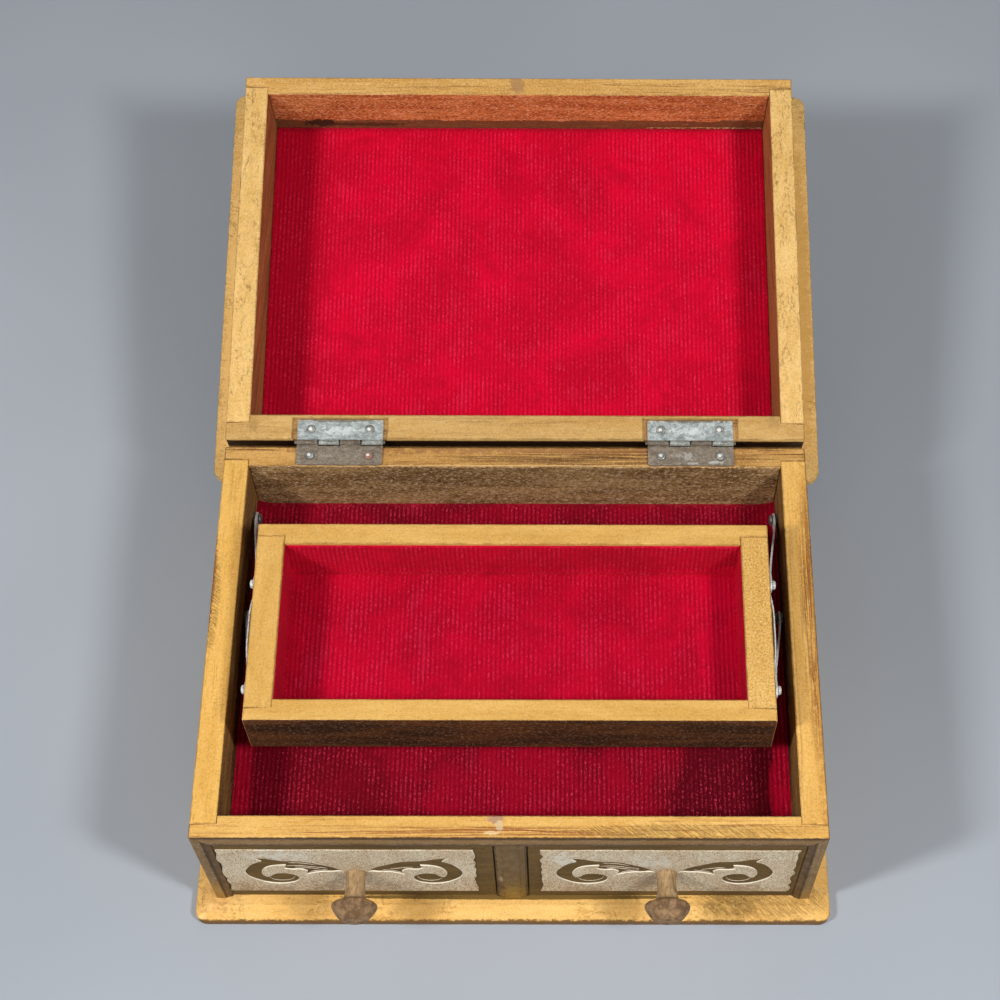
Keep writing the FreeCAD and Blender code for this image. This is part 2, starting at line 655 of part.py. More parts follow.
def lid_walls():
    """Front and back walls run the full width; the back wall is notched for the hinge leaves."""
    front = block("lid_front_board", ("-half_width", "half_width"), ("lid_front_y", "lid_inner_front"),
                  ("lid_low", "lid_high"))
    back = block("lid_back_board", ("-half_width", "half_width"), ("lid_inner_back", "lid_back_y"),
                 ("lid_low", "lid_high"))
    cuts = lid_rabbets("lid_back", ("lid_inner_back", "lid_inner_back + lid_rabbet"))
    leaf_top = "leaf_seat + leaf_thick"
    reach = "hinge_length / 2 + notch_space + pin_beyond"
    for side, sign in SIDES:
        middle = f"{sign} * hinge_place"
        cuts.append(block(f"lid_notch_{side}", (f"{middle} - ({reach})", f"{middle} + {reach}"),
                          ("-leaf_reach - notch_play", "lid_back_y"), ("lid_low", leaf_top)))
        for number, end in enumerate((-1, 1), 1):
            cuts.append(rod(f"lid_nail_hole_{side}_{number}", "nail_radius", "nail_length - leaf_thick",
                            f"{middle} + {end} * nail_place", "-nail_reach", leaf_top, "+Z"))
    front_cuts = lid_rabbets("lid_front", ("lid_inner_front - lid_rabbet", "lid_inner_front"))
    nodes["lid_front_wall"] = cut("lid_front_wall", front, front_cuts)
    nodes["lid_back_wall"] = cut("lid_back_wall", back, cuts)
    for side, sign in SIDES:
        wall = block(f"lid_{side}_board", across(sign, "lid_inner_x", "half_width"),
                     ("lid_inner_front - lid_rabbet", "lid_inner_back + lid_rabbet"),
                     ("lid_low", "lid_high"))
        nodes[f"lid_wall_{side}"] = group(f"lid_wall_{side}", [wall])


def lid():
    lid_walls()
    x = ("-half_width - lid_over_side", "half_width + lid_over_side")
    y = ("lid_front_y - lid_over_front", "lid_back_y + lid_over_back")
    nodes["lid_board"] = bevelled_board(
        "lid_board", "lid_high", "(lid_board - lid_bevel_drop)", "lid_bevel_drop", x, y,
        "lid_corner", "lid_bevel_run", "lid_bevel_corner")
    pad_block = block("lid_pad_block", ("-lid_inner_x + pad_gap", "lid_inner_x - pad_gap"),
                      ("lid_inner_front + pad_gap", "lid_inner_back - pad_gap"),
                      ("lid_high - lid_pad", "lid_high"))
    nodes["lid_pad"] = group("lid_pad", [pad_block])
    for name in ("front_wall", "back_wall", "wall_left", "wall_right", "board", "pad"):
        tilt(nodes["lid_" + name], "pin_y", "pin_z", "-lid_open")


# The tray and its arms

def tray_walls():
    heights = ("tray_foot", "tray_top")
    housed = ("tray_inner_front - tray_rabbet", "tray_inner_back + tray_rabbet")
    for name, low, high, rabbet in (
            ("front", "tray_face_y", "tray_inner_front", (housed[0], "tray_inner_front")),
            ("back", "tray_inner_back", "tray_back_y", ("tray_inner_back", housed[1]))):
        rail = block(f"tray_{name}_board", ("-tray_half", "tray_half"), (low, high), heights)
        cuts = [block(f"tray_{name}_rabbet_{side}", across(sign, "tray_inner_x", "tray_half"), rabbet,
                      heights) for side, sign in SIDES]
        nodes[f"tray_{name}_wall"] = cut(f"tray_{name}_wall", rail, cuts)
    for side, sign in SIDES:
        end = block(f"tray_end_{side}_board", across(sign, "tray_inner_x", "tray_half"), housed, heights)
        holes = [rod(f"tray_end_{side}_hole_{name}", "pivot_radius", "rivet_bite",
                     f"{sign} * (tray_half)", f"tray_pivot_y + {back}", "tray_pivot_z", inward(sign))
                 for name, back in ARM_PAIRS]
        nodes[f"tray_end_{side}"] = cut(f"tray_end_{side}", end, holes)


def tray_inside():
    """The bottom board, a lined pad on it and a thin lining on the four inner walls."""
    inside = (("-tray_inner_x", "tray_inner_x"), ("tray_inner_front", "tray_inner_back"))
    nodes["tray_bottom"] = block("tray_bottom", *inside, ("tray_foot", "tray_floor_top"))
    heights = ("tray_floor_top", "tray_top - skin_drop")
    sleeve = block("tray_lining_block", *inside, heights)
    hollow = block("tray_lining_hollow", ("-tray_inner_x + tray_skin", "tray_inner_x - tray_skin"),
                   ("tray_inner_front + tray_skin", "tray_inner_back - tray_skin"), heights)
    nodes["tray_wall_lining"] = cut("tray_wall_lining", sleeve, [hollow])
    clear = "tray_skin + pad_gap"
    nodes["tray_pad"] = block("tray_pad", (f"-tray_inner_x + {clear}", f"tray_inner_x - ({clear})"),
                              (f"tray_inner_front + {clear}", f"tray_inner_back - ({clear})"),
                              ("tray_floor_top", "tray_floor_top + tray_pad"))


def strip_outline(body, name, half_width, reach):
    """A flat strip's side view from its first pivot, with round ends."""
    sketch = new_sketch(body, name, "YZ_Plane")
    rounded_rectangle(sketch, reach, (f"-{half_width}", half_width), f"{half_width} - 0.01")
    return sketch


def tray_bars():
    for side, sign in SIDES:
        name = f"tray_bar_{side}"
        body = new_body(name)
        outline = strip_outline(body, name + "_outline", "bar_width / 2",
                                ("-bar_width / 2", "arm_spacing + bar_width / 2"))
        pad(body, name + "_pad", outline, "bar_thick", backwards=sign < 0)
        holes = new_sketch(body, name + "_holes", "YZ_Plane")
        for back in ("0", "arm_spacing"):
            circle(holes, back, "0", "pivot_radius")
        pocket(body, name + "_drill", holes)
        nodes[name] = place(body, f"{sign} * (tray_half)", "tray_pivot_y", "tray_pivot_z")


def arm(name, sign, free_hole):
    """A joggled arm drawn level from its pivot in the case, towards the front."""
    body = new_body(name)
    bend_start = "-(joggle_start)"
    bend_end = "-(joggle_start + joggle_length)"
    end = "-(arm_length + arm_width / 2)"
    strip = new_sketch(body, name + "_strip", "XY_Plane", "-arm_width / 2")
    polygon(strip, [(f"{sign} * ({x})", y) for x, y in (
        ("arm_lower_x", "arm_width / 2"), ("arm_lower_x", bend_start), ("arm_upper_x", bend_end),
        ("arm_upper_x", end), ("arm_upper_x + arm_thick", end), ("arm_upper_x + arm_thick", bend_end),
        ("arm_lower_x + arm_thick", bend_start), ("arm_lower_x + arm_thick", "arm_width / 2"))])
    pad(body, name + "_pad", strip, "arm_width")
    ends = (value("arm_width / 2"), value(end))
    round_off(body, name + "_ends", "arm_width / 2 - 0.01",
              lambda edge: near(edge.Length, "arm_thick")
              and min(abs(edge.CenterOfMass.y - place_y) for place_y in ends) < 0.01)
    holes = new_sketch(body, name + "_holes", "YZ_Plane")
    circle(holes, "0", "0", "pivot_radius + pivot_play")
    circle(holes, "-arm_length", "0", f"pivot_radius + {free_hole}")
    pocket(body, name + "_drill", holes)
    return body


def arms():
    plays = {"front": "free_play", "rear": "pivot_play"}
    for side, sign in SIDES:
        for name, back in ARM_PAIRS:
            node = f"{name}_arm_{side}"
            item = arm(node, sign, plays[name])
            nodes[node] = tilt(item, f"case_pivot_y + {back}", "case_pivot_z", "-arm_lift")


def pivots():
    """Rivets hold the arms to the tray's ends; shouldered screws hold them to the side walls."""
    rivets, screws = [], []
    grip = "bar_thick + 2 * arm_play + arm_thick"
    grip_top = f"{grip} + rivet_head"
    reach = "wall_stand + arm_thick + arm_play"
    reach_top = f"{reach} + rivet_head"
    for side, sign in SIDES:
        for name, back in ARM_PAIRS:
            rivet = turned(f"rivet_{name}_{side}", [
                ("0", "-rivet_bite"), ("pivot_radius", "-rivet_bite"), ("pivot_radius", grip),
                ("rivet_head_radius", grip), ("rivet_head_radius", grip_top), ("0", grip_top)],
                [(grip_top, "rivet_head_radius", "0.8 * rivet_head")])
            rivets.append(place(rivet, f"{sign} * (tray_half)", f"tray_pivot_y + {back}",
                                "tray_pivot_z", inward(-sign)))
            screw = turned(f"screw_{name}_{side}", [
                ("0", "-screw_bite"), ("pivot_radius", "-screw_bite"), ("pivot_radius", "0"),
                ("shoulder_radius", "0"), ("shoulder_radius", "wall_stand - arm_play"),
                ("pivot_radius", "wall_stand - arm_play"), ("pivot_radius", reach),
                ("rivet_head_radius", reach), ("rivet_head_radius", reach_top), ("0", reach_top)],
                [(reach_top, "rivet_head_radius", "0.8 * rivet_head")])
            screws.append(place(screw, f"{sign} * (inner_x)", f"case_pivot_y + {back}",
                                "case_pivot_z", inward(sign)))
    nodes["tray_rivets"] = group("tray_rivets", rivets)
    nodes["arm_screws"] = group("arm_screws", screws)


# The drawers

def drawer_front(name, sign):
    panel = block(name + "_panel", across(sign, "panel_low_x", "panel_low_x + panel_wide"),
                  ("panel_y", "box_y"), ("panel_foot", "panel_foot + panel_high"))
    inner = block(name + "_board", across(sign, "box_low_x", "box_low_x + box_wide"),
                  ("box_y", "box_inner_y"), ("box_foot", "box_foot + box_high"))
    for part, board in (("front", panel), ("inner_front", inner)):
        hole = rod(f"{name}_{part}_hole", "knob_screw_radius", "panel_thick + drawer_wall",
                   f"{sign} * (knob_x)", "panel_y", "knob_z", "+Y")
        nodes[f"{name}_{part}"] = cut(f"{name}_{part}", board, [hole])


def drawer_box(name, sign):
    heights = ("box_foot", "box_foot + box_high")
    length = ("box_inner_y", "box_inner_y + box_inner_long")
    near_x = ("box_low_x", "box_low_x + drawer_wall")
    far_x = ("box_low_x + box_wide - drawer_wall", "box_low_x + box_wide")
    inside = (near_x[1], far_x[0])
    nodes[f"{name}_inner_side"] = block(f"{name}_inner_side", across(sign, *near_x), length, heights)
    nodes[f"{name}_outer_side"] = block(f"{name}_outer_side", across(sign, *far_x), length, heights)
    nodes[f"{name}_back"] = block(f"{name}_back", across(sign, "box_low_x", "box_low_x + box_wide"),
                                  (length[1], f"{length[1]} + drawer_wall"), heights)
    nodes[f"{name}_bottom"] = block(f"{name}_bottom", across(sign, *inside), length,
                                    ("box_foot", "box_floor_top"))
    nodes[f"{name}_pad"] = block(
        f"{name}_pad", across(sign, f"{inside[0]} + pad_gap", f"{inside[1]} - pad_gap"),
        (f"{length[0]} + pad_gap", f"{length[1]} - pad_gap"),
        ("box_floor_top", "box_floor_top + drawer_pad"))


def knob(name, sign):
    """A turned knob: a waisted post and a mushroom head that tapers to a rounded tip."""
    total = "post_length + head_length"
    body = turned(name + "_turning", [
        ("0", "0"), ("post_radius", "0"), ("post_waist", "post_length / 2"), ("post_flare", "post_length"),
        ("head_radius", "post_length + head_rise"), ("tip_radius", total), ("0", total)],
        [(total, "tip_radius", "tip_round"), ("post_length + head_rise", "head_radius", "head_round")])
    place(body, f"{sign} * (knob_x)", "panel_y", "knob_z", "-Y")
    hole = rod(name + "_hole", "knob_screw_radius", "knob_screw_bite", f"{sign} * (knob_x)",
               "panel_y", "knob_z", "-Y")
    nodes[name] = cut(name, body, [hole])


def knob_screw(name, sign):
    shank = "panel_thick + drawer_wall + knob_screw_bite"
    body = turned(name, [
        ("0", "0"), ("knob_screw_radius", "0"), ("knob_screw_radius", shank), ("knob_screw_head", shank),
        ("knob_screw_head", f"{shank} + knob_screw_rise"), ("0", f"{shank} + knob_screw_rise")],
        [(f"{shank} + knob_screw_rise", "knob_screw_head", "0.6 * knob_screw_rise")])
    nodes[name] = place(body, f"{sign} * (knob_x)", "panel_y - knob_screw_bite", "knob_z", "+Y")


def drawers():
    for side, sign in SIDES:
        drawer_front(f"drawer_{side}", sign)
        drawer_box(f"drawer_{side}", sign)
        knob(f"drawer_{side}_knob", sign)
        knob_screw(f"drawer_{side}_knob_screw", sign)


def check_all():
    """Stop if any object failed or any node is not a whole, valid shape."""
    doc.recompute()
    for item in doc.Objects:
        if {"Invalid", "Error"} & set(item.State):
            raise RuntimeError(f"{item.Name}: {item.State}")
    for name, item in nodes.items():
        if item.Shape.isNull() or not item.Shape.isValid() or item.Shape.Volume <= 0:
            raise RuntimeError(f"{name} is not a valid shape")


def export_all():
    os.makedirs("parts", exist_ok=True)
    for name, item in nodes.items():
        if item.Label != name:
            raise RuntimeError(f"{item.Label} is not labelled {name}")
        item.Shape.exportStep(f"parts/{name}.step")


def print_places():
    """The numbers that describe the joints."""
    for text in ("pin_y", "pin_z", "lid_open", "case_pivot_y", "case_pivot_y + arm_spacing", "case_pivot_z",
                 "tray_pivot_y", "tray_pivot_y + arm_spacing", "tray_pivot_z"):
        print(f"{text} = {value(text):.4f}")


fill_sheet()
base_board()
side_walls()
back_wall()
front_rail()
side_stiles()
centre_stile()
bay_divider()
compartment()
hinges()
hinge_nails()
lid()
tray_walls()
tray_inside()
tray_bars()
arms()
pivots()
drawers()
check_all()
export_all()
print_places()
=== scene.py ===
import json
import math
import random

import bmesh
import bpy
from mathutils import Euler, Matrix, Vector, noise

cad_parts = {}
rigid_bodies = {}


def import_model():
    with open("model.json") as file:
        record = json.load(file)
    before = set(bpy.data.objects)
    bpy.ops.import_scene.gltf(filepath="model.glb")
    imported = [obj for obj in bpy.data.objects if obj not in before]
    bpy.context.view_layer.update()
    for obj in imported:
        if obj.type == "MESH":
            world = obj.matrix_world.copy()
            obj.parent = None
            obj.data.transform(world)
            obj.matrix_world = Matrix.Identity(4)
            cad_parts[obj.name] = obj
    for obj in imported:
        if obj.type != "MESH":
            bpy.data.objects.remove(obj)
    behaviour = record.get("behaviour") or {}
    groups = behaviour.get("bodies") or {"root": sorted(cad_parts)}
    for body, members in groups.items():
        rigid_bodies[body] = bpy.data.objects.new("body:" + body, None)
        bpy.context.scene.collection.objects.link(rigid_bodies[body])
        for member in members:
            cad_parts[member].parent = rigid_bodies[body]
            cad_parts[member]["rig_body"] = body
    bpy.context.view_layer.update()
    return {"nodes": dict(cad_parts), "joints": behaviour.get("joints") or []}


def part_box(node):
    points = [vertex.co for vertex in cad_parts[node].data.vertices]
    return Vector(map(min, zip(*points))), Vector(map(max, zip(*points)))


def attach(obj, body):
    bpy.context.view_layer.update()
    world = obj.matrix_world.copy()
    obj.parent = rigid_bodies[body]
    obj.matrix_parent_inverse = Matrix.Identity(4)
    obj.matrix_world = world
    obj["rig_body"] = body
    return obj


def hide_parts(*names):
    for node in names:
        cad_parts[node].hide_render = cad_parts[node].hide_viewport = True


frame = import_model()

# A ring box of painted wood with its lid open, its tray lifted on steel arms and two drawers shut.
# The front of the box faces -Y and the lid leans back over +Y. Lengths are metres, and the finishes,
# marks and carved outlines are given in millimetres.

mm = 0.001
nodes = frame["nodes"]
scene = bpy.context.scene
pivots = {joint["name"]: Vector(joint["pos_m"]) for joint in frame["joints"] if "pos_m" in joint}

# How far the lid stands open, how far its boards lean then, and the frames of the lid and the box
LID_OPEN = math.radians(169.598)
LEAN = LID_OPEN - math.pi
LID = Matrix.Translation(pivots["lid_close"]) @ Matrix.Rotation(-LID_OPEN, 4, "X")
BOX = Matrix.Identity(4)
FRONT, BACK = (0, -1, 0), (0, 1, 0)
SIDES = (("left", -1), ("right", 1))


def linked(name, data):
    """A new object in the scene."""
    item = bpy.data.objects.new(name, data)
    scene.collection.objects.link(item)
    return item


# The camera and the studio

CAMERA_PLACE = (0.0165, -0.28064, 0.67325)
# How far the camera looks down from level, its turn aside and its roll, in degrees
CAMERA_DIP, CAMERA_TURN, CAMERA_ROLL = 61.305, -0.645, 0.71
# Name, place, the place it shines at, width, height and watts
LAMPS = [
    ("lamp_left", (-0.7, -0.38, 0.92), (0, 0.05, 0.05), 0.12, 0.2, 8.6),
    ("lamp_right", (0.54, -0.38, 0.92), (0, 0.05, 0.05), 0.12, 0.2, 6.9),
    ("lamp_front", (0.05, -1.1, 0.5), (0, 0, 0.04), 0.8, 0.5, 2.7),
    ("lamp_behind", (0, 1.1, 0.9), (0, 0.1, 0.05), 0.9, 0.6, 1.6),
]
SKY_COLOUR, SKY_STRENGTH = (1, 0.99, 0.97, 1), 0.15


def add_camera():
    lens = bpy.data.cameras.new("camera")
    lens.sensor_width = 36
    lens.lens = 71.9
    lens.shift_x = -0.073
    lens.clip_start = 0.01
    camera = linked("camera", lens)
    aim = Euler((math.radians(90 - CAMERA_DIP), 0, math.radians(CAMERA_TURN))).to_matrix()
    look = aim @ Matrix.Rotation(math.radians(CAMERA_ROLL), 3, "Z")
    camera.matrix_world = Matrix.Translation(CAMERA_PLACE) @ look.to_4x4()
    scene.camera = camera


def add_studio():
    for name, place, towards, width, height, watts in LAMPS:
        lamp = bpy.data.lights.new(name, "AREA")
        lamp.shape = "RECTANGLE"
        lamp.size = width
        lamp.size_y = height
        lamp.energy = watts
        aim = (Vector(towards) - Vector(place)).to_track_quat("-Z", "Y")
        linked(name, lamp).matrix_world = Matrix.Translation(place) @ aim.to_matrix().to_4x4()
    world = bpy.data.worlds.new("studio")
    world.use_nodes = True
    sky = world.node_tree.nodes["Background"]
    sky.inputs["Color"].default_value = SKY_COLOUR
    sky.inputs["Strength"].default_value = SKY_STRENGTH
    scene.world = world


# Finishes

def tone(colour):
    """A colour given by its screen values, as the shader wants it."""
    parts = []
    for part in colour:
        part /= 255
        parts.append(part / 12.92 if part <= 0.04045 else ((part + 0.055) / 1.055) ** 2.4)
    return (*parts, 1)


def darker(colour, share):
    return [share * part for part in colour]


def lighter(colour, share):
    return [part + (255 - part) * share for part in colour]


def metric(places):
    return [part * mm for part in places]


class Finish:
    """A material built up from noise in the piece's own space: colours are laid one over another,
    and height patterns are added up."""

    def __init__(self, name, roughness, metallic=0.0, specular=0.5, lean=0.0):
        self.material = bpy.data.materials.new(name)
        self.material.use_nodes = True
        self.tree = self.material.node_tree
        self.shader = self.tree.nodes["Principled BSDF"]
        self.set("Roughness", roughness)
        self.set("Metallic", metallic)
        self.set("Specular IOR Level", specular)
        self.place = self.add("TexCoord").outputs["Object"]
        self.lean = (lean, 0, 0)
        self.bumps = None

    def set(self, name, value):
        self.feed(self.shader.inputs[name], value)

    def feed(self, socket, value):
        if isinstance(value, bpy.types.NodeSocket):
            self.tree.links.new(value, socket)
        else:
            socket.default_value = value

    def add(self, kind, inputs=None, **settings):
        """A new node, with what goes into its inputs by their names or numbers."""
        node = self.tree.nodes.new("ShaderNode" + kind)
        for name, setting in settings.items():
            setattr(node, name, setting)
        for name, value in (inputs or {}).items():
            self.feed(node.inputs[name], value)
        return node

    def mapped(self, size, at=(0, 0, 0), turn=None):
        """The piece's space divided by a size on each axis, round a place in metres."""
        inputs = {"Vector": self.place, "Location": at, "Rotation": turn or self.lean, "Scale": metric(size)}
        return self.add("Mapping", inputs, vector_type="TEXTURE").outputs["Vector"]

    def noise(self, size, at=(0, 0, 0), detail=3.0, rough=0.6, warp=0.0, turn=None):
        """Noise of a size, shifted in metres so that no two patterns are alike."""
        inputs = {"Vector": self.mapped(size, at, turn), "Scale": 1, "Detail": detail, "Roughness": rough,
                  "Distortion": warp}
        return self.add("TexNoise", inputs).outputs["Fac"]

    def grain(self, axis, fine, run, **ways):
        """Noise that is long along one axis and fine across it."""
        size = [fine] * 3
        size["xyz".index(axis)] = run
        return self.noise(size, **ways)

    def span(self, value, low, high, out_low=0.0, out_high=1.0):
        """A value stretched between two limits."""
        inputs = dict(enumerate((value, low, high, out_low, out_high)))
        return self.add("MapRange", inputs, interpolation_type="SMOOTHSTEP").outputs["Result"]

    def compute(self, kind, first, second):
        return self.add("Math", {0: first, 1: second}, operation=kind).outputs[0]

    def times(self, first, second):
        return self.compute("MULTIPLY", first, second)

    def mix(self, amount, first, second):
        return self.add("Mix", {"Factor": amount, 6: first, 7: second}, data_type="RGBA").outputs[2]

    def blend(self, amount, first, second):
        """The colour so far becomes a mix of two."""
        self.base = self.mix(amount, first, second)
        self.set("Base Color", self.base)

    def ground(self, value, low, high, first, second):
        """The first layer: two colours mixed by a value."""
        self.blend(self.span(value, low, high), tone(first), tone(second))

    def cover(self, colour, amount):
        """Lay a colour over the ones before it."""
        self.blend(amount, self.base, tone(colour))

    def lay(self, colour, value, low, high, share=1.0):
        """Lay a colour where a value runs from one limit to the other."""
        self.cover(colour, self.span(value, low, high, 0, share))

    def near(self, at, reach, soft=0.6):
        """A soft spot: 1 at a place, 0 beyond its reach on each axis."""
        away = self.add("VectorMath", {0: self.mapped(reach, metric(at))}, operation="LENGTH")
        return self.span(away.outputs["Value"], 1, 1 - soft)

    def patch(self, place, reach, colour, strength, ragged=0.5, blur=0.11):
        """One worn or stained place with a rim that is more or less ragged and blurred."""
        spot = self.near(place, reach, 0.8)
        fray = self.noise([2.2] * 3, at=metric(reach), detail=5, rough=0.8, warp=0.5)
        torn = self.span(fray, 0.3, 0.7, -ragged, ragged)
        amount = self.span(self.compute("ADD", torn, spot), 0.51 - blur, 0.51 + blur, 0, strength)
        self.cover(colour, self.times(amount, self.span(spot, 0, 0.15)))

    def attribute(self, name):
        return self.add("Attribute", attribute_name=name).outputs["Fac"]

    def raise_by(self, value, depth, strength=1.0):
        """Lay one more height pattern over the surface."""
        below = {"Normal": self.bumps} if self.bumps else {}
        bump = self.add("Bump", {"Strength": strength, "Distance": depth * mm, "Height": value, **below})
        self.bumps = bump.outputs["Normal"]
        self.set("Normal", self.bumps)


def gold_paint(name, axis, tones, lean=0.0, streaks=0.6, sand=0.5, pits=0.0, worn=0.6, marks=(), seam=None,
               chatter=None):
    """Gold paint over open grain: brown streaks along the board, sandy speckle, dents and rubbed
    edges. A seam is a zone where the paint is worn through to the grain, and chatter is one with
    the slanted ridges of a coarse blade: each is its place and reach."""
    light, middle, dark = tones
    coat = Finish(name, 0.5, 0.1, 0.25, lean)
    broad = coat.grain(axis, 7, 38, warp=0.5)
    cloud = coat.grain(axis, 2.2, 4, at=(0.5, 0.2, 0.9), detail=4, rough=0.7)
    bands = coat.grain(axis, 4, 70, at=(0.1, 0.4, 0.7), detail=2, warp=0.8)
    lines = coat.grain(axis, 0.7, 26, at=(0.9, 0.1, 0.3), detail=4, rough=0.65, warp=0.6)
    grain = coat.grain(axis, 0.5, 3, detail=4, rough=0.75)
    speckle = coat.noise([0.65] * 3, at=(0.7, 0.2, 0.5), rough=0.8)
    coat.ground(broad, 0.3, 0.7, middle, light)
    coat.lay(darker(middle, 0.86), cloud, 0.5, 0.75, 0.4)
    coat.lay(lighter(light, 0.18), cloud, 0.46, 0.28, 0.4)
    coat.cover(dark, coat.times(coat.span(bands, 0.46, 0.62), coat.span(lines, 0.47, 0.6, 0, streaks)))
    coat.lay(dark, lines, 0.56, 0.68, streaks * 0.5)
    if seam:
        zone = coat.near(*seam, 0.7)
        thread = coat.grain(axis, 0.8, 45, at=(0.2, 0.7, 0.6), detail=5, rough=0.7, warp=0.9)
        coat.cover(dark, coat.times(zone, coat.span(thread, 0.46, 0.58, 0, 0.95)))
        coat.cover(dark, coat.times(zone, coat.span(lines, 0.44, 0.6, 0, 0.6)))
        coat.raise_by(coat.times(zone, thread), 0.5, 0.6)
    if chatter:
        slant = (0, 0, math.radians(-38))
        ridges = coat.noise([7, 0.9, 7], at=(0.3, 0.1, 0.8), warp=0.5, turn=slant)
        furrows = coat.times(coat.near(*chatter, 0.5), coat.span(ridges, 0.4, 0.6))
        coat.cover(darker(middle, 0.72), coat.times(furrows, 0.32))
        coat.raise_by(coat.compute("SUBTRACT", 1, furrows), 0.7, 0.8)
    coat.lay(darker(middle, 0.75), grain, 0.52, 0.7, 0.3)
    coat.lay(lighter(light, 0.3), speckle, 0.52, 0.66, sand)
    coat.lay(darker(middle, 0.68), speckle, 0.47, 0.34, sand)
    if pits:
        field = coat.noise([16] * 3, at=(0.3, 0.8, 0.2), detail=2)
        dents = coat.noise([1.8, 1.4, 1.6], at=(0.6, 0.5, 0.4), warp=0.5)
        dented = coat.times(coat.span(field, 0.45, 0.6), coat.span(dents, 0.52, 0.66))
        coat.cover(dark, coat.times(dented, pits * 0.15))
        coat.raise_by(coat.compute("SUBTRACT", 1, dented), 0.25)
    for mark in marks:
        coat.patch(*mark)
    rubbed = coat.times(coat.attribute("edge"), coat.span(cloud, 0.35, 0.6, 0.1, worn))
    coat.cover(darker(dark, 0.6), rubbed)
    coat.set("Roughness", coat.span(cloud, 0.3, 0.7, 0.42, 0.66))
    coat.raise_by(lines, 0.12, 0.5)
    coat.raise_by(cloud, 0.2, 0.35)
    coat.raise_by(speckle, 0.1, 0.6)
    return coat


def bare_wood(name, axis, light, dark, lean=0.0, sandy=0.5, foot=None, marks=()):
    """Thinly stained wood with open, dark pores and pale flecks; foot is a dark band along a wall's
    foot, as its place and its reach."""
    coat = Finish(name, 0.75, 0, 0.15, lean)
    broad = coat.grain(axis, 5, 40, warp=0.6)
    grain = coat.grain(axis, 0.5, 7, detail=4, rough=0.75)
    fleck = coat.grain(axis, 0.8, 1.2, at=(0.4, 0.3, 0.1), rough=0.8)
    coat.ground(broad, 0.3, 0.7, dark, light)
    coat.lay(darker(dark, 0.55), grain, 0.5, 0.68, 0.55)
    coat.lay(lighter(light, 0.35), fleck, 0.53, 0.64, sandy)
    coat.lay(darker(dark, 0.5), fleck, 0.46, 0.34, sandy)
    if foot:
        band = coat.near(*foot, 0.3)
        wavy = coat.grain(axis, 2, 12, detail=4)
        edge = coat.compute("ADD", band, coat.span(wavy, 0.3, 0.7, -0.5, 0.5))
        coat.lay((98, 62, 38), edge, 0.4, 0.55, 0.85)
    for mark in marks:
        coat.patch(*mark)
    coat.raise_by(grain, 0.15, 0.6)
    coat.raise_by(fleck, 0.12, 0.5)
    return coat


def silver_paint():
    """Silver-grey paint, mottled and finely pitted, stained low down, with painted highlights along its cut
    edges.
    """
    coat = Finish("silver_paint", 0.6)
    cloud = coat.noise([7, 7, 14])
    low = coat.near((0, -70.9, 12), (200, 20, 24), 0.9)
    grain = coat.noise([1.1, 0.8, 2.2], detail=6, rough=0.85)
    speck = coat.noise([0.4, 0.4, 1], at=(0.2, 0.6, 0.1))
    coat.ground(cloud, 0.35, 0.65, (202, 178, 144), (214, 198, 168))
    stained = coat.times(coat.span(low, 0, 1, 0.1, 1), coat.span(grain, 0.42, 0.6, 0.1, 0.7))
    coat.cover((160, 128, 90), stained)
    coat.lay((156, 128, 94), grain, 0.5, 0.66, 0.6)
    coat.lay((118, 92, 60), speck, 0.53, 0.64, 0.7)
    coat.lay((244, 234, 214), speck, 0.46, 0.34, 0.6)
    for mark in silver_marks:
        coat.patch(*mark)
    # Painted highlight: the cut edges are laid pale
    coat.cover((250, 240, 218), coat.times(coat.attribute("edge"), 0.85))
    coat.raise_by(grain, 0.2, 0.8)
    coat.raise_by(speck, 0.16, 0.7)
    return coat


def velvet(name, bright, deep, bead, ribbing, marks=()):
    """Ribbed crimson velvet: pale beads on the rib crests, partly painted sheen, painted shade in the furrows,
    smooth crushed patches.
    Marks are painted light and shade on the pile: place, reach, colour and strength."""
    coat = Finish(name, 0.9, 0, 0.1)
    coat.set("Sheen Weight", 0.3)
    coat.set("Sheen Roughness", 0.4)
    coat.set("Sheen Tint", tone((255, 60, 80)))
    nap = coat.noise([26, 20, 26], detail=2, warp=0.4)
    crushed = coat.noise([9, 14, 9], at=(0.2, 0.1, 0.6), detail=4, rough=0.65, warp=0.4)
    pile = coat.noise([0.62, 0.95, 0.8], rough=0.75)
    furrow = coat.attribute("furrow")
    upright = coat.span(crushed, 0.6, 0.44, 0.35 * ribbing, ribbing)
    coat.ground(nap, 0.3, 0.7, darker(deep, 0.93), bright)
    coat.lay(darker(deep, 0.8), crushed, 0.54, 0.7, 0.45)
    coat.lay(lighter(bright, 0.12), crushed, 0.46, 0.3, 0.35)
    # Marks: painted light and shade laid on the pile
    for place, reach, colour, strength in marks:
        spot = coat.compute("ADD", coat.near(place, reach), coat.span(crushed, 0.35, 0.65, -0.25, 0.25))
        coat.lay(colour, spot, 0.2, 0.8, strength)
    # Painted shade in the furrows between the ribs
    coat.cover(darker(deep, 0.62), coat.times(coat.span(furrow, 0.2, 0.9, 0, 0.6), upright))
    coat.lay(darker(deep, 0.74), pile, 0.48, 0.34, 0.3)
    # Pale beads on the rib crests, partly painted sheen
    ridge = coat.times(coat.span(furrow, 0.75, 0.2), upright)
    coat.cover(bead, coat.times(coat.span(pile, 0.5, 0.64, 0, 0.8), ridge))
    coat.raise_by(pile, 0.22, 0.5)
    return coat


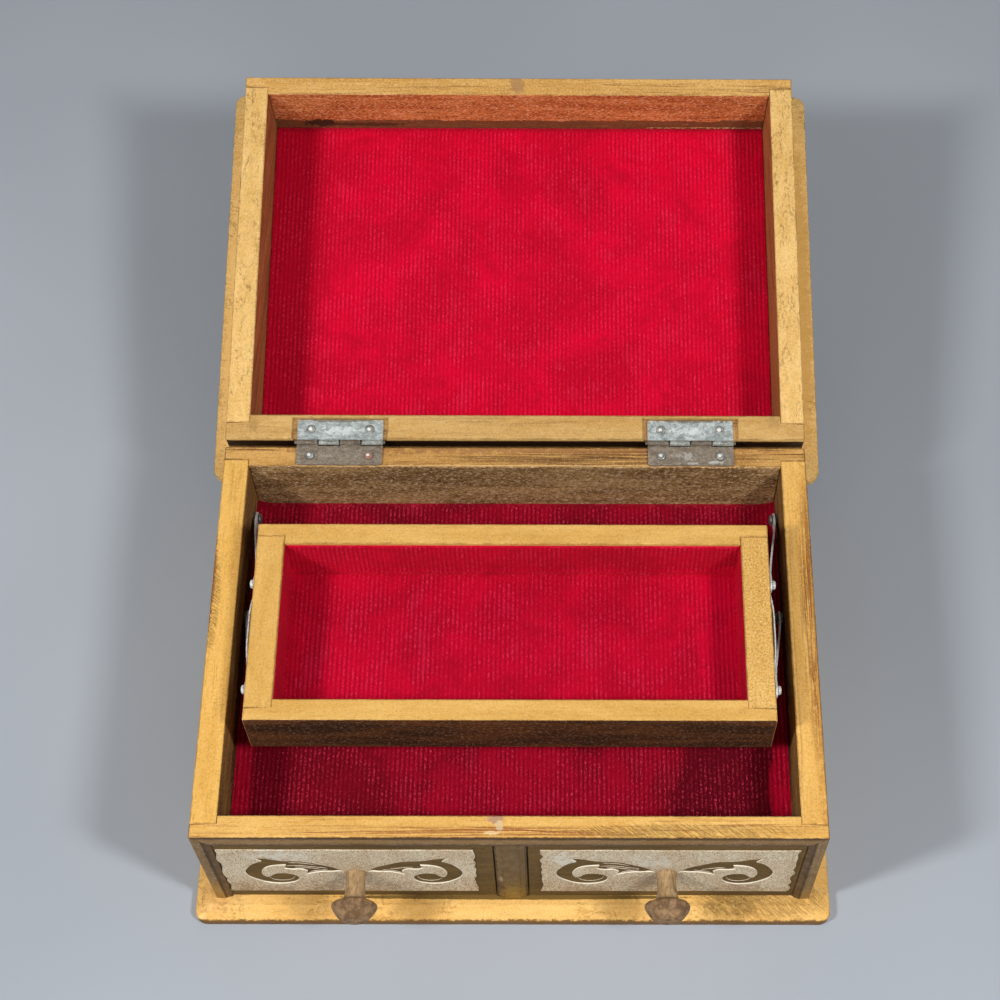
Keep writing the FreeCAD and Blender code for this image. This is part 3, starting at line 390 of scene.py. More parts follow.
def knob_paint():
    """Rubbed grey-brown paint on a turned knob; the post is barer and more golden."""
    coat = Finish("knob_paint", 0.62, 0, 0.2)
    cloud = coat.noise([2.5] * 3, detail=4)
    grain = coat.noise([0.6, 4, 0.6], detail=4, rough=0.7)
    speck = coat.noise([0.4] * 3, at=(0.3, 0.3, 0.8), detail=2)
    coat.ground(cloud, 0.3, 0.7, (150, 122, 84), (182, 152, 112))
    cap = coat.mix(coat.span(cloud, 0.35, 0.65), tone((106, 80, 54)), tone((156, 124, 90)))
    coat.blend(coat.attribute("head"), coat.base, cap)
    coat.lay((96, 68, 42), grain, 0.48, 0.62, 0.6)
    coat.lay((160, 134, 104), speck, 0.56, 0.68, 0.4)
    # Painted shade in the groove under the head
    coat.cover((58, 40, 26), coat.attribute("groove"))
    coat.raise_by(grain, 0.12, 0.5)
    coat.raise_by(speck, 0.08, 0.4)
    return coat


def steel(name, light, dark, rust=0.0, axis="x", metal=0.5, flare=(236, 240, 240), rings=(), marks=()):
    """Dull plated steel: cloudy, scratched, stained where it is old, with painted shade round its nails."""
    coat = Finish(name, 0.42, metal)
    cloud = coat.noise([2.0, 1.4, 1.4], detail=5, rough=0.7, warp=0.5)
    brush = coat.grain(axis, 0.15, 3)
    stain = coat.noise([4] * 3, at=(0.4, 0.9, 0.3), detail=4)
    fleck = coat.noise([0.5] * 3, at=(0.1, 0.5, 0.2), rough=0.7)
    coat.ground(cloud, 0.35, 0.62, dark, light)
    coat.lay(flare, cloud, 0.58, 0.7, 0.6)
    coat.lay(darker(dark, 0.75), brush, 0.5, 0.7, 0.3)
    coat.lay(darker(dark, 0.5), fleck, 0.56, 0.66, 0.6)
    coat.lay(lighter(flare, 0.5), fleck, 0.4, 0.32, 0.7)
    coat.lay((122, 92, 66), stain, 0.54, 0.68, rust)
    # Painted shade: a dark ring round each nail head
    for place in rings:
        coat.cover(darker(dark, 0.45), coat.times(coat.near(place, [2] * 3, 0.3), 0.85))
    for mark in marks:
        coat.patch(*mark)
    coat.set("Roughness", coat.span(cloud, 0.3, 0.7, 0.32, 0.55))
    coat.raise_by(cloud, 0.08, 0.4)
    coat.raise_by(brush, 0.02, 0.4)
    return coat


def floor_finish():
    coat = Finish("floor", 0.7)
    coat.ground(coat.noise([500] * 3), 0.3, 0.7, (152, 158, 166), (166, 172, 180))
    coat.raise_by(coat.noise([0.8] * 3, detail=2), 0.05, 0.2)
    return coat


# Paint tones, as light, middle and dark
RIM = (238, 186, 96), (224, 170, 80), (146, 88, 34)
RIGHT_RIM = (238, 186, 100), (222, 168, 82), (112, 62, 24)
RAIL = (236, 188, 104), (218, 164, 80), (150, 80, 28)
GRAINED = (216, 166, 92), (188, 136, 68), (104, 64, 26)
BASE = (238, 190, 110), (228, 174, 90), (176, 118, 52)
TRAY = (228, 180, 98), (214, 163, 80), (140, 86, 34)
LID_RIM = (228, 179, 102), (206, 152, 74), (132, 86, 38)
LID_NEAR = (212, 170, 104), (194, 148, 80), (132, 88, 42)
LID_SIDE = (242, 198, 124), (224, 178, 100), (146, 98, 46)
LID_INNER = (196, 112, 66), (160, 78, 42), (96, 48, 24)
NOTCH = (220, 176, 112), (192, 146, 84), (100, 66, 30)
# Front faces, stiles and their bevels: darker paint, partly painted shade
FACE_PAINT_AND_SHADE = (146, 112, 68), (120, 88, 48), (66, 44, 20)
STILE_PAINT_AND_SHADE = (144, 114, 70), (122, 92, 52), (70, 48, 24)
BEVEL_PAINT_AND_SHADE = (106, 78, 44), (90, 64, 36), (54, 38, 20)
SIDE = (196, 152, 82), (168, 124, 62), (98, 64, 28)

# Marks: place, reach, colour and strength, then how ragged and how blurred the rim is if not as usual
rail_marks_and_painted_light = [
    ((-4.5, -65, 68.2), (4.4, 3.2, 3), (176, 138, 112), 0.85),
    ((-3.2, -67, 68.2), (2.4, 3, 3), (218, 190, 146), 0.8),
    ((-5.5, -69.6, 68.2), (4.5, 1.1, 3), (238, 208, 156), 0.7),
    # A light band low on the rail's front face: painted highlight
    ((0, -71.7, 64.9), (260, 2, 2.2), (150, 114, 62), 0.75, 0.25),
    ((0, -71.7, 67.5), (260, 2, 1.3), (78, 54, 26), 0.9, 0.2),
    # A dark band at the foot of the rail's front face: painted shade
    ((0, -71.7, 61.2), (260, 2, 2), (84, 60, 30), 0.9, 0.2),
]
back_marks = [
    ((0, 70.8, 68.2), (120, 3, 3), (146, 98, 62), 0.6, 0.9),
    ((0, 63.9, 68.2), (120, 0.9, 3), (236, 190, 124), 0.6),
]
base_marks_and_painted_shade = [
    ((-106.8, -70.4, 6.2), (1.6, 5, 3), (150, 100, 46), 0.9),
    ((-84.6, -78.9, 5.5), (1.2, 2, 4), (120, 74, 30), 0.9),
    # A brown band on the base along the drawers' foot: painted contact shadow
    ((0, -71, 6.2), (100, 1.5, 1.5), (118, 90, 40), 1, 0.1),
    # A dark band along the base's front foot: painted shade
    ((0, -78.9, 0), (900, 3, 7), (104, 70, 32), 0.9, 0.15),
    ((-104, -73, 6.2), (12, 12, 3), (212, 160, 96), 0.6, 1, 0.4),
]
stile_marks_and_painted_bounce = [
    ((0.5, -71.3, 34), (9, 3, 200), (98, 72, 30), 0.75, 0.3),
    # The next three golden feet of the stiles are painted reflected light from the base board
    ((-99.8, -71.6, 6), (3.6, 3, 26), (170, 128, 60), 0.75, 0.6, 0.35),
    ((0.5, -71.6, 4), (8, 3, 28), (144, 110, 42), 0.85, 0.6, 0.5),
    ((99.8, -71.6, 6), (3.6, 3, 18), (160, 122, 60), 0.6, 0.6, 0.35),
    ((-4.4, -71.6, 18), (2.6, 3, 9), (78, 48, 34), 0.8, 0.7, 0.25),
    ((-3.6, -71.6, 26), (1.2, 3, 4), (168, 144, 112), 0.7, 0.8),
    *(((x, -71.3, 34), (0.9, 3, 90), (62, 44, 24), 0.75, 0.25) for x in (-98, 98, -5, 5)),
]
STAIN, RUB = (144, 112, 78), (224, 222, 208)
silver_marks = [((x, -72, z), (wide, 3, tall), colour, 0.6, 1, 0.3) for x, z, wide, tall, colour in (
    (-91, 15, 12, 9, STAIN), (-79, 15, 9, 6, STAIN), (-62, 17, 9, 12, STAIN), (-46, 16, 9, 10, STAIN),
    (45, 21, 10, 15, STAIN), (24, 14, 15, 7, STAIN), (78, 15, 12, 8, STAIN), (-76, 50, 14, 9, RUB),
    (46, 44, 12, 11, RUB), (17, 46, 7, 12, RUB))]
# Painted shade: darker low down on the inner faces of the side walls
wall_painted_shade = [((side * 92.7, 0, 44), (6, 90, 16), (58, 34, 16), 0.85, 0.3) for side in (-1, 1)]
lid_rim_marks = [
    ((-0.7, 211, 96), (4.6, 7, 4), (168, 126, 84), 0.75),
    ((50, 206.4, 95), (11, 1.2, 2), (240, 206, 150), 0.8),
]
lid_corner_marks = [
    ((-91.5, 78.5, 71.3), (2.6, 5, 3), (150, 118, 70), 0.4, 1),
    ((90.4, 80, 71.7), (3, 4.5, 3), (146, 116, 68), 0.4, 1),
]
lid_far_marks = [
    ((-76, 211.2, 74), (9, 5, 4.5), (50, 27, 16), 0.9),
    ((-60, 211.2, 73), (30, 5, 2), (64, 36, 22), 0.7),
]
lid_board_marks = [
    ((-105, 140, 60), (6, 110, 60), (250, 206, 128), 0.6),
    ((105, 140, 60), (6, 110, 60), (208, 160, 82), 0.7),
]
# A dark band of painted shadow and a gold lip of painted light along the outer face of the lid's wall by the
# hinges
lid_gap_painted_shade_and_light = [
    ((0, 74.4, 65.6), (900, 4, 5.4), (46, 26, 12), 1, 0.15, 0.3),
    ((0, 73.4, 70.8), (900, 4, 3.7), (250, 208, 132), 0.9, 0.1),
]

# How far a hinge's middle is from the box's, its nails from its own, and its knuckle joints apart
HINGE, NAIL, KNUCKLE = 61.4, 10.3, 7.5
hinge_nails = [sign * HINGE + end * NAIL for sign in (-1, 1) for end in (-1, 1)]
case_nails = [(x, 67.7, 69.2) for x in hinge_nails]
lid_nails = [(x, 77.6, 70.3) for x in hinge_nails]
nail_marks_and_painted_highlights = [
    ((-51.1, 67.7, 69.2), (2.2, 2.2, 2), (184, 126, 104), 0.9),
    # Painted highlights: pale crowns on every nail head
    *(((x - 0.2, y, z + 0.1), (1.05, 1, 2), (252, 250, 244), 0.95, 0.25) for x, y, z in case_nails + lid_nails),
]
# Painted shade: dark lines in the gaps between the hinge knuckles
knuckle_gap_painted_shade = [((side * HINGE + step * KNUCKLE, 72.6, 70.2), (0.6, 2, 2), (40, 34, 28), 0.9, 0.1)
                 for side in (-1, 1) for step in (-1, 0, 1)]
leaf_marks = [
    ((59, 67.6, 69), (5.5, 2.2, 2), (214, 212, 204), 0.55, 1.6),
    ((70, 65.2, 69), (3.6, 0.8, 2), (228, 228, 220), 0.7, 1),
    ((-66, 67.5, 69), (4.5, 1.2, 2), (190, 182, 168), 0.5),
    ((62, 64.8, 69), (3, 0.7, 2), (214, 212, 204), 0.7),
]
zinc_marks = [
    *(((side * HINGE, 77.2, 70), (9, 2, 3), (240, 246, 244), 0.7, 1.2) for side in (-1, 1)),
    *(((side * HINGE, 80.9, 70.4), (18, 0.9, 3), (112, 98, 76), 0.7) for side in (-1, 1)),
]

# Painted light and shade on the velvets: place, reach, colour and strength
# A painted shadow of the lid's left wall
lid_velvet_painted_shade = [((-86, 140, 80), (24, 160, 60), (176, 0, 32), 0.8)]
# Painted light on the right of the tray lining
tray_velvet_painted_light = [((73, -4, 62), (14, 60, 8), (236, 0, 60), 0.35)]
floor_velvet_painted_light_and_shade = [
    # Painted shadows at the front corners, painted light along the walls and in the middle
    ((76, -52, 42.5), (34, 40, 30), (84, 0, 14), 0.95),
    ((-70, -50, 42.5), (42, 40, 30), (104, 0, 18), 0.7),
    ((-91.5, -50, 43), (7, 60, 9), (168, 0, 36), 0.8),
    ((91.5, -50, 43), (7, 60, 9), (190, 0, 42), 0.9),
    ((8, -52, 42.5), (56, 30, 30), (168, 0, 36), 0.5),
]

finishes = dict(
    rail=gold_paint("front_rail_gold", "x", RAIL, streaks=0.6, sand=0.35, marks=rail_marks_and_painted_light,
        seam=((-10, -69.4, 68.2), (72, 2.6, 3)), chatter=((56, -69, 68.2), (44, 3.4, 4))),
    back_rim=gold_paint("back_rim_gold", "x", GRAINED, streaks=0.9, sand=0.4, marks=back_marks,
        seam=((30, 67, 68.2), (80, 4.5, 3))),
    left_rim=gold_paint("left_rim_gold", "y", RIM, streaks=0.3, sand=0.4, worn=0.4,
        marks=[((-101.5, 18, 68), (1.6, 26, 3), (150, 96, 46), 0.8)],
        chatter=((-100.4, 10, 68.2), (2.4, 22, 4))),
    right_rim=gold_paint("right_rim_gold", "y", RIGHT_RIM, streaks=0.3, sand=0.4, worn=0.4,
        marks=[((101.4, 0, 68.2), (4, 100, 3), (170, 108, 40), 0.4, 1, 0.4)],
        seam=((100.3, 4, 68.2), (4.6, 62, 3))),
    base=gold_paint("base_gold", "x", BASE, streaks=0.15, sand=0.35, pits=0.7, worn=0.1, marks=base_marks_and_painted_shade,
        chatter=((86, -72, 6.2), (30, 10, 4))),
    face_x=gold_paint("face_paint_and_shade_along_x", "x", FACE_PAINT_AND_SHADE, streaks=0.4, sand=0.7, worn=0.2, marks=rail_marks_and_painted_light),
    face_z=gold_paint("stile_paint_and_shade", "z", STILE_PAINT_AND_SHADE, streaks=0.3, sand=0.5, worn=0.2, marks=stile_marks_and_painted_bounce),
    bevel=gold_paint("stile_bevel_paint_and_shade", "z", BEVEL_PAINT_AND_SHADE, streaks=0.3, sand=0.3, worn=0.1, marks=stile_marks_and_painted_bounce),
    side_x=gold_paint("side_paint_along_x", "x", SIDE),
    side_y=gold_paint("side_paint_along_y", "y", SIDE),
    tray_x=gold_paint("tray_gold_along_x", "x", TRAY, streaks=0.1, sand=0.35, worn=0.4),
    tray_left=gold_paint("tray_left_gold", "y", TRAY, streaks=0.05, sand=0.35, worn=0.4),
    tray_right=gold_paint("tray_right_gold", "y", TRAY, streaks=0.05, sand=0.85, worn=0.4),
    lid_x=gold_paint("lid_gold_along_x", "x", LID_RIM, LEAN, 0.6, 0.6, worn=0.35, marks=lid_rim_marks),
    lid_y=gold_paint("lid_gold_along_y", "y", LID_SIDE, LEAN, 0.6, 0.45, worn=0.35),
    lid_near=gold_paint("lid_near_gold", "x", LID_NEAR, LEAN, 0.3, 0.35, worn=0.35, marks=lid_corner_marks),
    lid_back=gold_paint("lid_board_gold", "x", LID_SIDE, LEAN, 0.15, 0.6, pits=0.5, marks=lid_board_marks),
    lid_outer=gold_paint("lid_outer_back", "x", SIDE, LEAN, marks=lid_gap_painted_shade_and_light),
    lid_inner_x=gold_paint("lid_inner_wall_along_x", "x", LID_INNER, LEAN, 0.3, 0.7),
    notch=gold_paint("notch_wood", "x", NOTCH, LEAN),
    lid_inner_y=bare_wood("lid_inner_wall_along_y", "y", (176, 116, 66), (140, 82, 44), LEAN, 0.3),
    lid_far=bare_wood("lid_far_wall", "x", (214, 134, 74), (178, 92, 42), LEAN, 0.95,
        foot=((0, 211.6, 71), (400, 8, 6)), marks=lid_far_marks),
    wall_x=bare_wood("bare_wall_along_x", "x", (184, 144, 92), (128, 92, 52), sandy=1),
    wall_y=bare_wood("bare_wall_along_y", "y", (158, 114, 58), (104, 70, 34), sandy=0.4, marks=wall_painted_shade),
    tray_face=bare_wood("tray_face_wood", "x", (96, 54, 22), (50, 26, 9), sandy=0.45),
    ground=bare_wood("brown_ground", "x", (112, 86, 44), (92, 69, 34), sandy=0.15),
    drawer=bare_wood("drawer_wood", "y", (186, 150, 102), (152, 116, 72), sandy=0.2),
    card=bare_wood("raw_card", "x", (206, 150, 96), (150, 92, 52), sandy=0.9),
    silver=silver_paint(),
    knob=knob_paint(),
    lid_velvet=velvet("lid_velvet", (220, 0, 46), (208, 0, 40), (250, 48, 90), 0.8, lid_velvet_painted_shade),
    velvet=velvet("tray_velvet", (198, 0, 43), (186, 0, 37), (224, 50, 86), 0.85, tray_velvet_painted_light),
    floor_velvet=velvet("compartment_velvet", (154, 0, 31), (128, 0, 23), (214, 56, 84), 1, floor_velvet_painted_light_and_shade),
    zinc=steel("zinc_leaf", (208, 216, 214), (164, 174, 172), 0.12, rings=lid_nails, marks=zinc_marks),
    stained=steel("stained_leaf", (168, 154, 136), (140, 126, 110), 0.35, flare=(190, 180, 164),
        rings=case_nails, marks=leaf_marks),
    knuckle=steel("knuckle", (124, 112, 98), (88, 78, 66), 0.3, metal=0.2, flare=(150, 140, 124),
        marks=knuckle_gap_painted_shade),
    pale_knuckle=steel("pale_knuckle", (164, 168, 160), (120, 122, 114), 0.15, metal=0.3,
        flare=(200, 204, 198), marks=knuckle_gap_painted_shade),
    # Screws darkened as painted shade
    shaded=steel("arm_screw", (120, 118, 112), (84, 80, 74), 0.3, metal=0.4, flare=(150, 148, 140)),
    # Steel laid near-white as a painted glint, for the arms, bars, rivets and knob screws
    bright=steel("steel_painted_white_glint", (246, 246, 244), (206, 208, 208), 0.05, "y", metal=0.15),
    nails=steel("nail_heads", (170, 170, 164), (120, 120, 114), 0.1, metal=0.4, marks=nail_marks_and_painted_highlights),
    floor=floor_finish(),
)


# Shaping helpers

# Velvet: the ribs' width, the furrows' depth and the reach of the edges that roll over
RIB, FURROW, ROLL = 1.55 * mm, 0.22 * mm, 1.4 * mm


def new_object(name, shape, finish_names, smooth=False):
    """Turn a finished bmesh into an object."""
    mesh = bpy.data.meshes.new(name)
    shape.to_mesh(mesh)
    shape.free()
    for finish in finish_names:
        mesh.materials.append(finishes[finish].material)
    if smooth:
        mesh.polygons.foreach_set("use_smooth", [True] * len(mesh.polygons))
    return linked(name, mesh)


def new_piece(name, shape, body, finish_names, stands_for=(), smooth=False):
    """Turn a finished bmesh into a piece that rides on a body."""
    piece = new_object(name, shape, finish_names, smooth)
    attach(piece, body)
    if stands_for:
        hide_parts(*stands_for)
    return piece


def share_of(value):
    """A value kept between 0 and 1."""
    return min(1.0, max(0.0, value))


def new_grid(shape, columns, rows):
    """Add a flat grid of unit size to a shape."""
    return bmesh.ops.create_grid(shape, x_segments=columns, y_segments=rows, size=0.5)["verts"]


def weld(shape, gap):
    bmesh.ops.remove_doubles(shape, verts=shape.verts, dist=gap)


def face_out(shape):
    bmesh.ops.recalc_face_normals(shape, faces=shape.faces)


def thicken(shape, thick):
    face_out(shape)
    bmesh.ops.solidify(shape, geom=shape.faces, thickness=thick)
    face_out(shape)


def made_by(step, kind):
    return [item for item in step["geom"] if isinstance(item, kind)]


def copy_of(name):
    """A node's own shape with its flat faces joined."""
    shape = bmesh.new()
    shape.from_mesh(nodes[name].data)
    weld(shape, 0.01 * mm)
    bmesh.ops.dissolve_limit(shape, angle_limit=math.radians(1), verts=shape.verts, edges=shape.edges)
    return shape


def extent(name, turn):
    """A node's lowest and highest corners in a turned frame."""
    back = turn.inverted()
    places = [back @ vertex.co for vertex in nodes[name].data.vertices]
    return [Vector([pick(place[axis] for place in places) for axis in range(3)]) for pick in (min, max)]


def facing(shape, way):
    """The faces that look one way: the outermost ones, and the ones that lie deeper."""
    depths = {face: face.calc_center_median().dot(way) for face in shape.faces if face.normal.dot(way) > 0.97}
    limit = max(depths.values()) - 0.1 * mm
    return ([face for face in depths if depths[face] > limit], [face for face in depths if depths[face] <= limit])


def soften(shape, width, least=0.0, segments=3, plain=()):
    """Round the sharp outer edges and mark the rounded faces as rubbed; plain faces butt against
    another board and keep sharp edges."""
    rubbed = shape.faces.layers.float.new("edge")
    sharp = [edge for edge in shape.edges
             if edge.is_manifold and edge.is_convex and edge.calc_face_angle() > math.radians(20)
             and edge.calc_length() >= least
             and not any(face in plain for face in edge.link_faces)]
    made = bmesh.ops.bevel(shape, geom=sharp, offset=width, offset_type="OFFSET", affect="EDGES",
                           segments=segments, profile=0.5, material=-1, clamp_overlap=True)
    for face in made["faces"]:
        face[rubbed] = 1
    bmesh.ops.dissolve_degenerate(shape, dist=0.001 * mm, edges=shape.edges)


def board(name, finish, sides=(), turn=BOX, width=0.5 * mm, least=3 * mm, hollow=None,
          butting=False):
    """A wooden board in its node's place with softened edges. Sides lists the ways of the outermost
    faces that have a finish of their own, and hollow is the same for the deeper faces. The ends of
    a butting board touch the boards across them."""
    shape = copy_of(name)
    turned = turn.to_3x3()
    kinds = [finish] + [kind for _, kind in sides]
    for number, (way, _) in enumerate(sides, 1):
        for face in facing(shape, turned @ Vector(way))[0]:
            face.material_index = number
    if hollow:
        for face in facing(shape, turned @ Vector(hollow[0]))[1]:
            face.material_index = len(kinds)
        kinds.append(hollow[1])
    plain = set()
    for way in (FRONT, BACK):
        outer, deeper = facing(shape, turned @ Vector(way))
        plain.update(deeper, outer if butting else ())
    soften(shape, width, least, plain=plain)
    new_piece(name + "_wood", shape, nodes[name]["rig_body"], kinds, [name])


def ribbed_panel(shape, width, length, thick, place, seed, crown=0.3 * mm, step=2.5 * mm, curl=(0, 1),
                 cove=(0, 1)):
    """Add a velvet-covered panel to a shape: ribs run along its length, its edges roll over. Its
    sides may curl up a wall and its foot may come forward in a cove, each as a height and a run."""
    layer = shape.verts.layers.float.get("furrow") or shape.verts.layers.float.new("furrow")
    ribs = max(2, round(width / RIB))
    top = new_grid(shape, ribs * 4, max(4, round(length / step)))
    for vertex in top:
        vertex.co = Vector((vertex.co.x * width, vertex.co.y * length, 0))
    rim = [edge for edge in {edge for vertex in top for edge in vertex.link_edges} if edge.is_boundary]
    skirt = bmesh.ops.extrude_edge_only(shape, edges=rim)
    lower = made_by(skirt, bmesh.types.BMVert)
    for vertex in lower:
        vertex.co.z = -thick
    foot = [edge for edge in made_by(skirt, bmesh.types.BMEdge) if edge.is_boundary]
    bmesh.ops.contextual_create(shape, geom=foot)
    for vertex in top:
        x, y = vertex.co.x, vertex.co.y
        from_side, from_end = width / 2 - abs(x), length / 2 - abs(y)
        roll = share_of((from_end if curl[0] else min(from_side, from_end)) / ROLL)
        drift = 0.25 * mm * noise.noise(Vector((x * 40, y * 25, seed)))
        wave = 0.5 + 0.5 * math.cos(2 * math.pi * (x + drift) / (width / ribs))
        soft = noise.noise(Vector((x * 60, y * 45, seed + 4)))
        lift = (roll ** 0.5 - 1) * min(thick, 0.9 * mm) * 0.8
        lift += crown * (soft * 0.5 - 0.5) * roll
        lift -= FURROW * (1 - wave) * roll
        lift += curl[0] * max(0.0, 1 - from_side / curl[1]) ** 1.6
        lift += cove[0] * max(0.0, 1 - (length / 2 + y) / cove[1]) ** 2
        vertex.co.z += lift
        vertex[layer] = (1 - wave) * roll
    for vertex in top + lower:
        vertex.co = place @ vertex.co


def velvet_pad(name, node, turn, face_up, seed, finish, step=2.5 * mm, reach=0.0, curl=(0, 1)):
    """A lined pad in its node's place, reaching on to the walls round it; face_up is 1 if it shows
    its upper side in its own frame, and -1 if it shows the lower one."""
    low, high = extent(node, turn)
    low -= Vector((reach, reach, 0))
    high += Vector((reach, reach, 0))
    middle = (low + high) / 2
    flip = Matrix.Identity(4) if face_up > 0 else Matrix.Rotation(math.pi, 4, "X")
    surface = high.z if face_up > 0 else low.z
    place = turn @ Matrix.Translation((middle.x, middle.y, surface)) @ flip
    shape = bmesh.new()
    ribbed_panel(shape, high.x - low.x, high.y - low.y, high.z - low.z, place, seed, step=step, curl=curl)
    face_out(shape)
    piece = new_piece(name, shape, nodes[node]["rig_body"], [finish], [node], smooth=True)


# The floor and the wooden boards

def add_floor():
    shape = bmesh.new()
    bmesh.ops.create_grid(shape, x_segments=1, y_segments=1, size=4)
    floor = new_object("floor", shape, ["floor"])


def add_case():
    board("base_board", "base", width=0.9 * mm, least=0)
    board("front_rail", "rail", [(BACK, "wall_x"), (FRONT, "face_x")], width=0.45 * mm)
    board("back_wall", "back_rim", [(FRONT, "wall_x"), (BACK, "side_x")])
    for side, sign in SIDES:
        sides = [((-sign, 0, 0), "wall_y"), ((sign, 0, 0), "side_y")]
        board(f"side_wall_{side}", f"{side}_rim", sides, butting=True)
    for side, sign in SIDES:
        slope = (-0.35 * sign, -0.94, 0)
        sides = [(slope, "bevel"), ((-sign, 0, 0), "bevel")]
        board(f"stile_{side}", "face_z", sides, width=0.3 * mm)
    board("centre_stile", "face_z", width=0.3 * mm)
    for name in ("bay_divider", "compartment_floor"):
        board(name, "drawer", width=0.3 * mm)


def add_lid():
    board("lid_board", "lid_back", least=0)
    board("lid_front_wall", "lid_x", [(BACK, "lid_far")], LID)
    board("lid_back_wall", "lid_near", [(FRONT, "lid_inner_x"), (BACK, "lid_outer")], LID,
          hollow=((0, 0, -1), "notch"))
    for side, sign in SIDES:
        board(f"lid_wall_{side}", "lid_y", [((-sign, 0, 0), "lid_inner_y")], LID, butting=True)


def add_tray():
    board("tray_front_wall", "tray_x", [(FRONT, "tray_face")], width=0.45 * mm)
    board("tray_back_wall", "tray_x", [(BACK, "tray_face")], width=0.45 * mm)
    for side, sign in SIDES:
        board(f"tray_end_{side}", f"tray_{side}", [((sign, 0, 0), "side_y")], width=0.45 * mm, butting=True)
    board("tray_bottom", "drawer", width=0.3 * mm)


# The linings

def add_linings():
    room = 0.35 * mm
    velvet_pad("compartment_lining", "compartment_pad", BOX, 1, 1.5, "floor_velvet", reach=room,
               curl=(2.2 * mm, 6 * mm))
    velvet_pad("lid_lining", "lid_pad", LID, -1, 8.5, "lid_velvet", reach=room)
    velvet_pad("tray_lining", "tray_pad", BOX, 1, 15.5, "velvet", reach=room)
    for number, (side, _) in enumerate(SIDES):
        velvet_pad(f"drawer_{side}_lining", f"drawer_{side}_pad", BOX, 1, 22.5 + number, "velvet", step=6 * mm)


def add_frayed_edge():
    """The pale raw edge of the lid lining's card, showing where the velvet has drawn back."""
    chance = random.Random(5)
    low = extent("lid_pad", LID)[0]
    start, reach = 48 * mm, 44.5 * mm
    shape = bmesh.new()
    new_grid(shape, 60, 1)
    for vertex in sorted(shape.verts, key=lambda vertex: (vertex.co.x, vertex.co.y)):
        fray = chance.uniform(0, 0.5) * mm if vertex.co.y > 0 else 0
        swell = math.sin(math.pi * (vertex.co.x + 0.5)) ** 0.4 if abs(vertex.co.x) < 0.499 else 0.1
        vertex.co = Vector((start + (vertex.co.x + 0.5) * reach, low.y - 0.3 * mm + fray,
                            low.z - 0.1 * mm - 0.25 * mm * swell * chance.random()))
    thicken(shape, 0.3 * mm)
    bmesh.ops.transform(shape, matrix=LID, verts=shape.verts)
    new_piece("lid_lining_card", shape, "lid", ["card"])


def add_tray_strips():
    """The velvet strips that stand round the inside of the tray's walls."""
    low, high = extent("tray_wall_lining", BOX)
    width, depth, height = (far - near for near, far in zip(low, high))
    middle = (low + high) / 2
    quarter = math.pi / 2
    shape = bmesh.new()
    for number in range(4):
        wide, deep = (width, depth) if number % 2 == 0 else (depth, width)
        stand = Matrix.Translation((0, deep / 2 - 0.6 * mm, 0)) @ Matrix.Rotation(quarter, 4, "X")
        place = Matrix.Translation(middle) @ Matrix.Rotation(number * quarter, 4, "Z") @ stand
        ribbed_panel(shape, wide, height, 0.55 * mm, place, 30 + number, crown=0.1 * mm, step=1.2 * mm,
                     cove=(1.1 * mm, 3.5 * mm))
    face_out(shape)
    piece = new_piece("tray_wall_velvet", shape, "tray", ["velvet"], ["tray_wall_lining"], smooth=True)


# The drawers, with outlines in millimetres

# Half of a carved scroll, from the knob outwards. A c marks a corner point, and the other points
# are smooth bends. The scrolls spring from a little above the knob's axis.
SCROLL = [
    (4.0, -0.1, "c"), (6.4, 3.2), (9.3, 5.6), (11.6, 7.0), (13.5, 8.3), (16.4, 9.7), (19.5, 10.3), (22.2, 10.4),
    (24.5, 11.0), (28.1, 12.6), (32.6, 13.6, "c"), (31.0, 11.2), (30.2, 9.9, "c"), (32.8, 7.9), (35.2, 3.9),
    (36.7, -0.5), (36.3, -4.8), (35.0, -7.4), (33.1, -9.6), (31.1, -11.4), (26.7, -12.9), (23.1, -12.2),
    (20.3, -9.9), (19.5, -7.2), (20.2, -4.3), (22.3, -2.6), (25.0, -2.0), (27.2, -2.8), (28.7, -5.0, "c"),
    (30.2, -6.0, "c"), (31.2, -3.2), (30.8, 0.7), (28.9, 4.0), (26.1, 5.6), (22.6, 6.2, "c"), (23.3, 2.8, "c"),
    (21.1, 1.9), (17.6, 2.0), (16.0, 0.4, "c"), (16.7, -3.3, "c"), (14.4, -1.8), (11.3, -0.5), (7.8, -0.4),
    (5.3, 0.0), (4.1, -1.0, "c"),
]
SCROLL_RISE = 1.1
# Fine ridges left standing in the carved leaves, as their middle lines
UPPER_RIDGE = [(22.4, 4.6), (18.6, 4.9), (15.3, 4.2), (12.7, 3.3), (9.6, 2.4)]
MIDDLE_RIDGE = [(19.6, 3.3), (17.5, 3.2), (14.8, 2.4), (12.2, 1.7)]
LOWER_RIDGE = [(15.8, -2.2), (13.7, -0.4), (9.7, 0.9)]
TOP_RIDGE = [(21.0, 8.0), (17.0, 7.4), (13.0, 5.6)]
EYE_RIDGE = [(29.4, -7.2), (28.5, -9.0), (26.8, -10.1), (24.9, -10.3), (23.1, -9.7), (21.5, -8.0), (20.9, -5.9)]
RIDGE_HALF = 0.14
# Each side of the knob: how the scroll is mirrored and scaled, and the ridges it has
SCROLL_SIDES = [
    (-1, [UPPER_RIDGE, MIDDLE_RIDGE, LOWER_RIDGE, TOP_RIDGE, EYE_RIDGE]),
    (0.96, [MIDDLE_RIDGE, LOWER_RIDGE, EYE_RIDGE]),
]
# The silver fields' ends, foot and head, and how far they stand in front of the drawer fronts
FIELD_ENDS = {"left": (-95.3, -12.0), "right": (10.1, 93.5)}
FIELD_FOOT, FIELD_HEAD, FIELD_RISE = 12.8, 54.4, 0.19
# How far the brown ground reaches past its solid at the outer side
GROUND_REACH = 0.25
